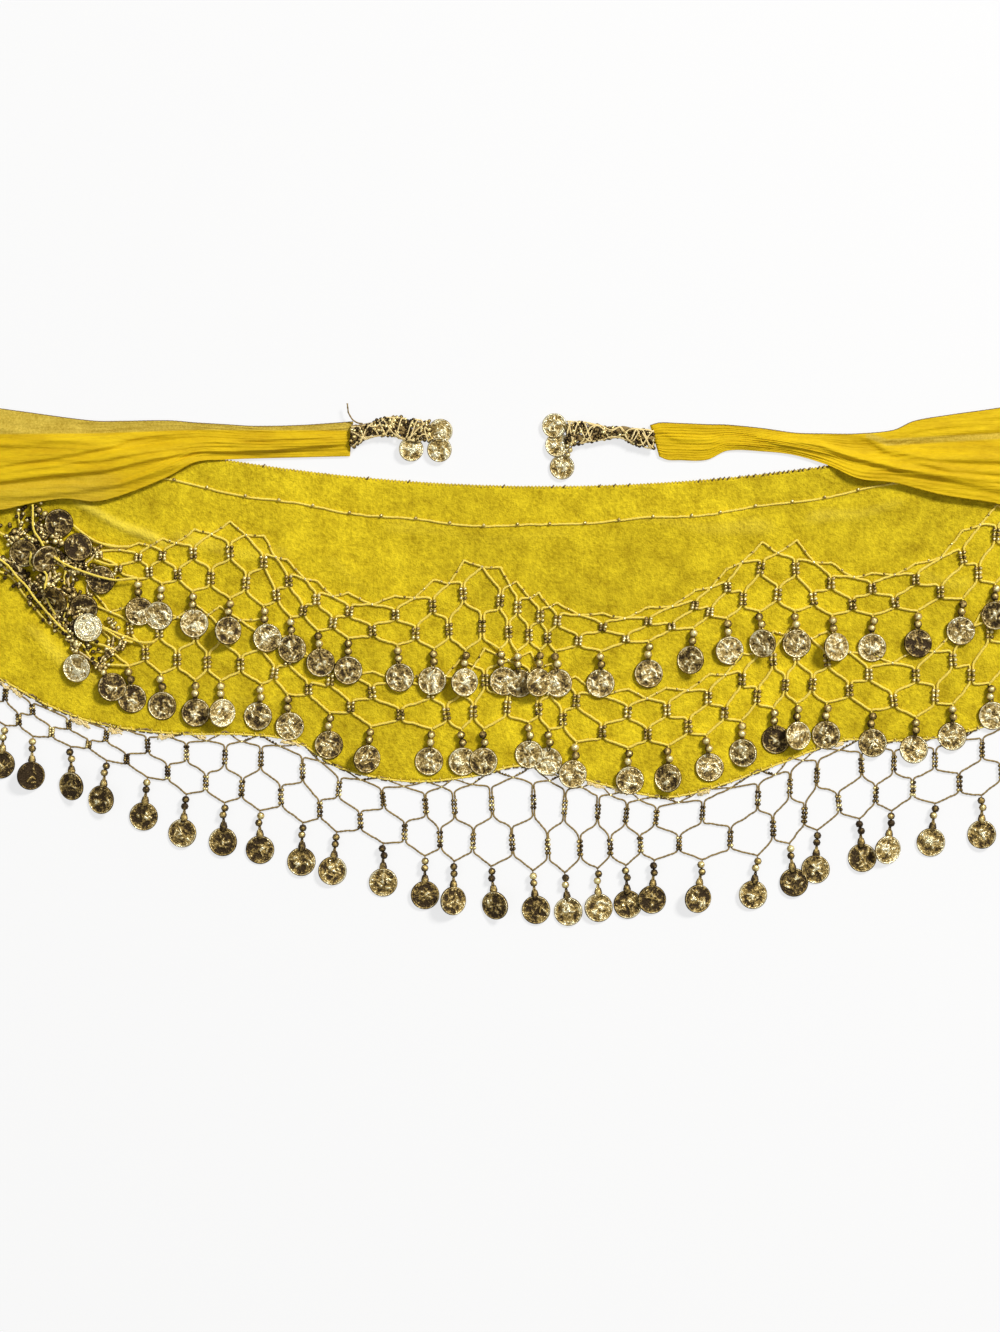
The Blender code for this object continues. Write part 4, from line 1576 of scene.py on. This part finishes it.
PLEATS_RIGHT = [
    ([(0.091, 0.1255), (0.1055, 0.1190), (0.146, 0.1165), (0.180, 0.1155)], 0.0009, 0.0030, 0.0015),
    ([(0.1505, 0.1202), (0.183, 0.1139), (0.214, 0.1078), (0.236, 0.1024), (0.266, 0.0957),
      (0.300, 0.0880), (0.450, 0.1080)], 0.0018, 0.0045, 0.0014),
    ([(0.167, 0.1185), (0.190, 0.1162), (0.213, 0.1078), (0.245, 0.0990), (0.300, 0.0935),
      (0.450, 0.1150)], 0.0016, 0.0030, 0.0014),
    ([(0.219, 0.1202), (0.2316, 0.1124), (0.259, 0.1078), (0.300, 0.1064), (0.450, 0.1240)],
     0.0022, 0.0035, 0.0018),
    ([(0.240, 0.1080), (0.271, 0.1004), (0.300, 0.0986), (0.450, 0.1190)], 0.0016, 0.0035, 0.0016),
    ([(0.219, 0.1202), (0.2376, 0.1184), (0.268, 0.1220), (0.300, 0.1256), (0.450, 0.1430)],
     0.0018, 0.0060, 0.0016),
    ([(0.240, 0.1230), (0.270, 0.1290), (0.300, 0.1330), (0.450, 0.1500)], 0.0010, 0.0030, 0.0020),
    ([(0.110, 0.1120), (0.140, 0.1150), (0.170, 0.1140), (0.200, 0.1075)], 0.0008, 0.0025, 0.0015),
]
# The dull napped strip above this line is the turned edge of each tie: x, y
STRIP_LEFT = [(-0.450, 0.152), (-0.300, 0.1215), (-0.2424, 0.1222), (-0.1866, 0.1243), (-0.088, 0.1240)]
STRIP_RIGHT = [(0.219, 0.1245), (0.232, 0.1195), (0.262, 0.1215), (0.300, 0.1235), (0.450, 0.141)]
print("pleats", len(PLEATS_LEFT), len(PLEATS_RIGHT))

# %% [markdown]
# ## Surface of a tie
#
# The ties lie on the nets, slope down to the floor beyond the waist, and go under themselves at the
# fold. So a tie's height is a base that depends on the place, plus the lift of its pleats. Parts of
# it are dull and napped: the turned edge, and the lower edge of the left one. The whole left tie
# carries a little nap as well, a duller nap and painted shade that darkens it against the right one.

# %% Surface of a tie
TIE_COLUMNS = 230
TIE_ROWS = 84
TIE_THICKNESS = 0.0011
PLEAT_RISE = {-1: 1.45, 1: 1.0}
CRINKLE = {-1: 0.00008, 1: 0.00006}
TIE_SLANT = {-1: -0.0020, 1: 0.0055}
TIE_ON_NETS = 0.0054
TIE_ON_FLOOR = 0.0008
TIE_UNDER = 0.0007
UNDER_STEPS = 7
FOLD_STEPS = 12
CRINKLES = 14


def broken_line(points):
    """The line y(x) that runs straight from point to point."""
    xs, ys = zip(*sorted(points))
    return lambda x: float(np.interp(x, xs, ys))


def ready_pleats(pleats):
    """Each pleat as its line, where it starts and ends, its height and its two widths."""
    return [(broken_line(line), min(line)[0], max(line)[0], *sizes) for line, *sizes in pleats]


def pleat_lift(pleats, x, y, side):
    """How far the pleats lift the chiffon at a place."""
    lift = 0.0
    for line, first, last, rise, gentle, steep in pleats:
        away = y - line(x)
        fade = ease((x - first + 0.012) / 0.03) * ease((last - x + 0.012) / 0.03)
        width = gentle if away > 0 else steep
        lift += PLEAT_RISE[side] * rise * fade * math.exp(-(away / width) ** 2)
    return max(lift, -0.0002)


def tie_base(x, y):
    """Height the tie lies at: over the panel and its nets, or on the floor beyond the waist."""
    over = waist_line(min(max(x, -HALF_LENGTH), HALF_LENGTH)) - y
    return TIE_ON_FLOOR + (TIE_ON_NETS - TIE_ON_FLOOR) * ease((over + 0.006) / 0.016)


def tie_path(side):
    """The centre line of the tie as (x, height): out under the fold and round it."""
    radius = (TIE_ON_NETS - TIE_UNDER) / 2
    middle = HALF_LENGTH + FOLD_OUT - radius
    path = [(side * x, TIE_UNDER) for x in np.linspace(HALF_LENGTH + 0.0003, middle - 0.002, UNDER_STEPS)]
    for turn in np.linspace(-math.pi / 2, math.pi / 2, FOLD_STEPS + 1):
        path.append((side * (middle - 0.0006 + radius * math.cos(turn)),
                     TIE_UNDER + radius * (1 + math.sin(turn))))
    return path


left_strip, right_strip = broken_line(STRIP_LEFT), broken_line(STRIP_RIGHT)
worn_edge = broken_line([(-0.450, 0.120), (-0.300, 0.0935), (-0.236, 0.100), (-0.200, 0.104)])


def strip_share(side, x, y):
    """1 on the napped strip of a tie, 0 off it. The left tie's worn lower edge carries some nap, and the
    whole left tie a little, which is a duller nap and painted shade.
    """
    if side < 0:
        wear_and_painted_highlight = 0.34 * ease((worn_edge(x) - y) / 0.003) * ease((-0.215 - x) / 0.03)
        # The least share, 0.05, darkens the whole left tie a little: a duller nap and painted shade.
        return max(ease((y - left_strip(x)) / 0.0012), wear_and_painted_highlight, 0.05)
    if x < STRIP_RIGHT[0][0]:
        return 0.0
    edge = right_strip(x)
    return 0.8 * ease((y - edge + 0.0048) / 0.0015) * ease((edge + 0.0004 - y) / 0.0015)


print("a tie has", TIE_COLUMNS, "columns of", TIE_ROWS, "points")

# %% [markdown]
# ## Building the ties
#
# A cloth simulation could fold a strip, but its pleats would fall by chance. Here each tie is a grid
# of points, column by column from its seam, round the fold and back to its narrow end, with the
# pleats lifting it and a fine crinkle on top. The last columns are slanted, as the real ends are.


# %% Ties
def build_tie(name, outline, pleats, side, seed):
    """One folded-back tie, and the grid of its upper face."""
    outline = sorted(outline)
    xs = [row[0] for row in outline]
    top_line = smooth_line([(x, up) for x, up, _ in outline])
    low_line = smooth_line([(x, low) for x, _, low in outline])
    pleats = ready_pleats(pleats)
    fold = tie_path(side)
    inner = xs[-1] if side < 0 else xs[0]
    start = fold[-1][0]
    stations = fold + [(x, None) for x in np.linspace(start, inner, TIE_COLUMNS)[1:]]
    noise = np.random.default_rng(seed)
    phases = noise.random((CRINKLES, 2)) * 6.28
    steps = noise.integers(5, 34, CRINKLES)
    middles = []
    for x, z in stations:
        held = min(max(x, xs[0]), xs[-1])
        up, low = top_line(held), low_line(held)
        slant = TIE_SLANT[side] * ease(1 - abs(held - inner) / 0.030)
        inward = ease((abs(start) - abs(x)) / 0.02)
        column = []
        for share in np.linspace(0.0, 1.0, TIE_ROWS):
            y = low + (up - low) * share
            crinkle = CRINKLE[side] * sum(
                math.sin(step * 3.1 * share + phase + 22 * x + drift * math.sin(40 * x))
                for (phase, drift), step in zip(phases, steps))
            height = tie_base(x, y) if z is None else z
            firm = 0.35 + 0.65 * math.sin(math.pi * share) ** 0.35
            lift = (pleat_lift(pleats, x, y, side) * inward + crinkle) * firm
            if z is not None and z < TIE_ON_NETS * 0.9:
                lift = 0.0
            lift = max(lift, TIE_THICKNESS / 2 + FLOOR_GAP - height)
            column.append((x + slant * (1 - share), y, height + lift))
        middles.append(column)
    middles = np.array(middles)
    outward = np.zeros((len(stations), 1, 3))
    outward[:, 0, 2] = 1.0
    for i, (x, z) in enumerate(fold):
        turn = math.pi * max(i - UNDER_STEPS, 0) / FOLD_STEPS
        middles[i, :, 2] = z
        if i >= UNDER_STEPS:
            middles[i, :, 0] = x
        outward[i, 0] = (side * math.sin(turn), 0.0, -math.cos(turn))
    top = middles + outward * TIE_THICKNESS / 2
    bottom = middles - outward * TIE_THICKNESS / 2
    if side > 0:
        top, bottom = top[::-1], bottom[::-1]
    tie = new_piece(name + "_chiffon", *close_shell(top, bottom), chiffon, "chiffon", name)
    # How napped each point is, with a little painted shade over the whole left tie.
    nap_and_painted_shade = [strip_share(side, x, y) for x, y, _ in top.reshape(-1, 3)]
    carry(tie, "nap_and_painted_shade", nap_and_painted_shade * 2)
    return tie, top


tie_left, left_grid = build_tie("tie_left", TIE_LEFT, PLEATS_LEFT, -1, 21)
tie_right, right_grid = build_tie("tie_right", TIE_RIGHT, PLEATS_RIGHT, 1, 22)

# %% [markdown]
# ## Rolled edges
#
# The upper edge of each tie is rolled and sewn with dark thread. It follows the last row of the
# tie's own points, so it can't leave the cloth.

# %% Rolled edges
ROLL_RADIUS = 0.00042
rolled = Collector()
for grid in (left_grid, right_grid):
    edge = grid[:, -1]
    edge = edge[np.abs(edge[:, 0]) < HALF_LENGTH]
    add_thread(rolled, edge + (0, 0.0001, -0.0004), ROLL_RADIUS, sides=5)
tie_edges = rolled.piece("tie_rolled_edges", overlock, "thread")

# %% [markdown]
# ## The tassels
#
# Each tie's narrow end is bound and finished with a tassel: a few strands of tiny beads twisted
# together, with three coins. Each strand is a path that winds inside the tassel's outline, with
# beads threaded close together along it.

# %% Places of the tassels
# x, upper y, lower y
TASSEL_LEFT = [(-0.0890, 0.1280, 0.1135), (-0.0868, 0.1280, 0.1140), (-0.0776, 0.1295, 0.1190),
               (-0.0684, 0.1335, 0.1200), (-0.0546, 0.1330, 0.1170), (-0.0420, 0.1315, 0.1165)]
TASSEL_RIGHT = [(0.0400, 0.1315, 0.1140), (0.0500, 0.1310, 0.1155), (0.0600, 0.1285, 0.1175),
                (0.0714, 0.1275, 0.1190), (0.0840, 0.1265, 0.1140), (0.0925, 0.1260, 0.1115)]
# Coins of a tassel, in millimetres: centre x, y, hangs from x, y, height, tip, roll, motif, tone
TASSEL_COINS_LEFT = [
    (-35.8, 124.2, -47.0, 127.5, 0.6, 0.05, 0.15, 1, 0.24),
    (-36.3, 113.0, -44.0, 124.0, 2.2, 0.05, 0.10, 0, 0.28),
    (-53.3, 113.4, -57.0, 126.0, 0.8, 0.10, -0.15, 2, 0.30),
]
TASSEL_COINS_RIGHT = [
    (32.6, 127.4, 46.0, 127.0, 1.6, 0.05, -0.10, 0, 0.32),
    (34.5, 115.9, 46.0, 122.0, 0.9, 0.05, 0.12, 3, 0.26),
    (37.2, 102.6, 44.0, 117.0, 0.8, 0.05, 0.08, 4, 0.32),
]
TASSEL_COIN_RADIUS = 0.0074
print("tassels are", round(TASSEL_LEFT[-1][0] - TASSEL_LEFT[0][0], 4), "and",
      round(TASSEL_RIGHT[-1][0] - TASSEL_RIGHT[0][0], 4), "long without their coins")

# %% [markdown]
# ## Making a tassel
#
# Nine thick strands fill the middle, nine rows of beads wind over them, and eight pale cords show
# between the beads.

# %% Tassels
STRANDS = 9
BEAD_ROWS = 9
CORDS = 8
TASSEL_BEAD_GAP = 0.0024
TASSEL_DROP_BEAD = 0.0017
TASSEL_BEAD_TONES = [-0.95, -0.85, -0.75, 0.10]


def build_tassel(outline, coins, seed, name):
    """The strands, beads and coins of one tassel."""
    chance = np.random.default_rng(seed)
    up = smooth_line([(x, high) for x, high, _ in outline])
    low = smooth_line([(x, low_y) for x, _, low_y in outline])
    strands, beads, discs, cords = Collector(), Collector(), Collector(), Collector()

    def strand(radius, height, wind, spread):
        """A winding path inside the outline."""
        phase, stray = chance.random() * 6.28, 1.2 + 1.8 * chance.random()
        path = []
        for x in np.arange(outline[0][0], outline[-1][0], 0.0008):
            turn = wind * x + phase + stray * math.sin(170 * x + 3 * phase)
            reach = spread * (up(x) - low(x) - 2 * radius)
            path.append((x, (up(x) + low(x)) / 2 + reach * math.sin(turn),
                         height + 0.0012 * math.cos(turn)))
        return path

    for k in range(STRANDS):
        add_thread(strands, strand(0.0011, 0.0027, 60 + 20 * k, 0.06 + 0.055 * k), 0.0011)
    for k in range(BEAD_ROWS):
        path = strand(0.0010, 0.0030, 130 + 80 * chance.random(), 0.22 + 0.035 * k)
        line, _ = resample(path, TASSEL_BEAD_GAP)
        for point in line:
            size = 0.00105 + 0.0004 * chance.random()
            shift = np.append((chance.random(2) - 0.5) * 0.0008, 0.0006 * chance.random())
            add_bead(beads, point + shift, size, float(chance.choice(TASSEL_BEAD_TONES)))
    for k in range(CORDS):
        wind = (90 + 170 * chance.random()) * (1 if k % 2 else -1)
        add_thread(cords, strand(0.0005, 0.0040, wind, 0.44), 0.00048, sides=5)
    for x, y, from_x, from_y, high, tip, roll, motif, tone in coins:
        centre = metres(x, y, high)
        origin = metres(from_x, from_y, 3.0)
        reach = centre[:2] - origin[:2]
        along = np.append(reach / np.linalg.norm(reach), 0.0)
        swing = math.atan2(reach[0], -reach[1])
        add_coin(discs, centre, swing, tip, roll, 0.2, motif, tone, TASSEL_COIN_RADIUS)
        for away in (0.0080, 0.0112):
            bead = centre - along * away
            bead[2] = 0.0028
            add_bead(beads, bead, TASSEL_DROP_BEAD, -0.1)
        add_wire(beads, [origin, centre - along * 0.0085 + (0, 0, 0.0020),
                         centre - along * 0.0058 + (0, 0, 0.0022)], 0.0004)
    coin_nodes = [name.replace("tassel_", "tassel_coin_") + "_" + digit for digit in "123"]
    return [strands.piece(name + "_strands", net_thread, "thread", name),
            beads.piece(name + "_beads", bead_brass, "brass"),
            discs.piece(name + "_coin_discs", coin_brass, "brass", *coin_nodes),
            cords.piece(name + "_cords", bunched_thread, "thread")]


tassel_left = build_tassel(TASSEL_LEFT, TASSEL_COINS_LEFT, 31, "tassel_left")

# %% [markdown]
# ## Loose thread
#
# One dark thread has come out of the left tie's end and curls above it.

# %% Loose thread and the right tassel
FRAY = [(-0.0914, 0.1406, 0.0050), (-0.0908, 0.1350, 0.0045), (-0.0885, 0.1310, 0.0035),
        (-0.0855, 0.1290, 0.0028), (-0.0822, 0.1286, 0.0025)]
fray = Collector()
add_thread(fray, FRAY, 0.00045)
tassel_left.append(fray.piece("tie_left_loose_thread", net_thread, "thread"))
tassel_right = build_tassel(TASSEL_RIGHT, TASSEL_COINS_RIGHT, 32, "tassel_right")
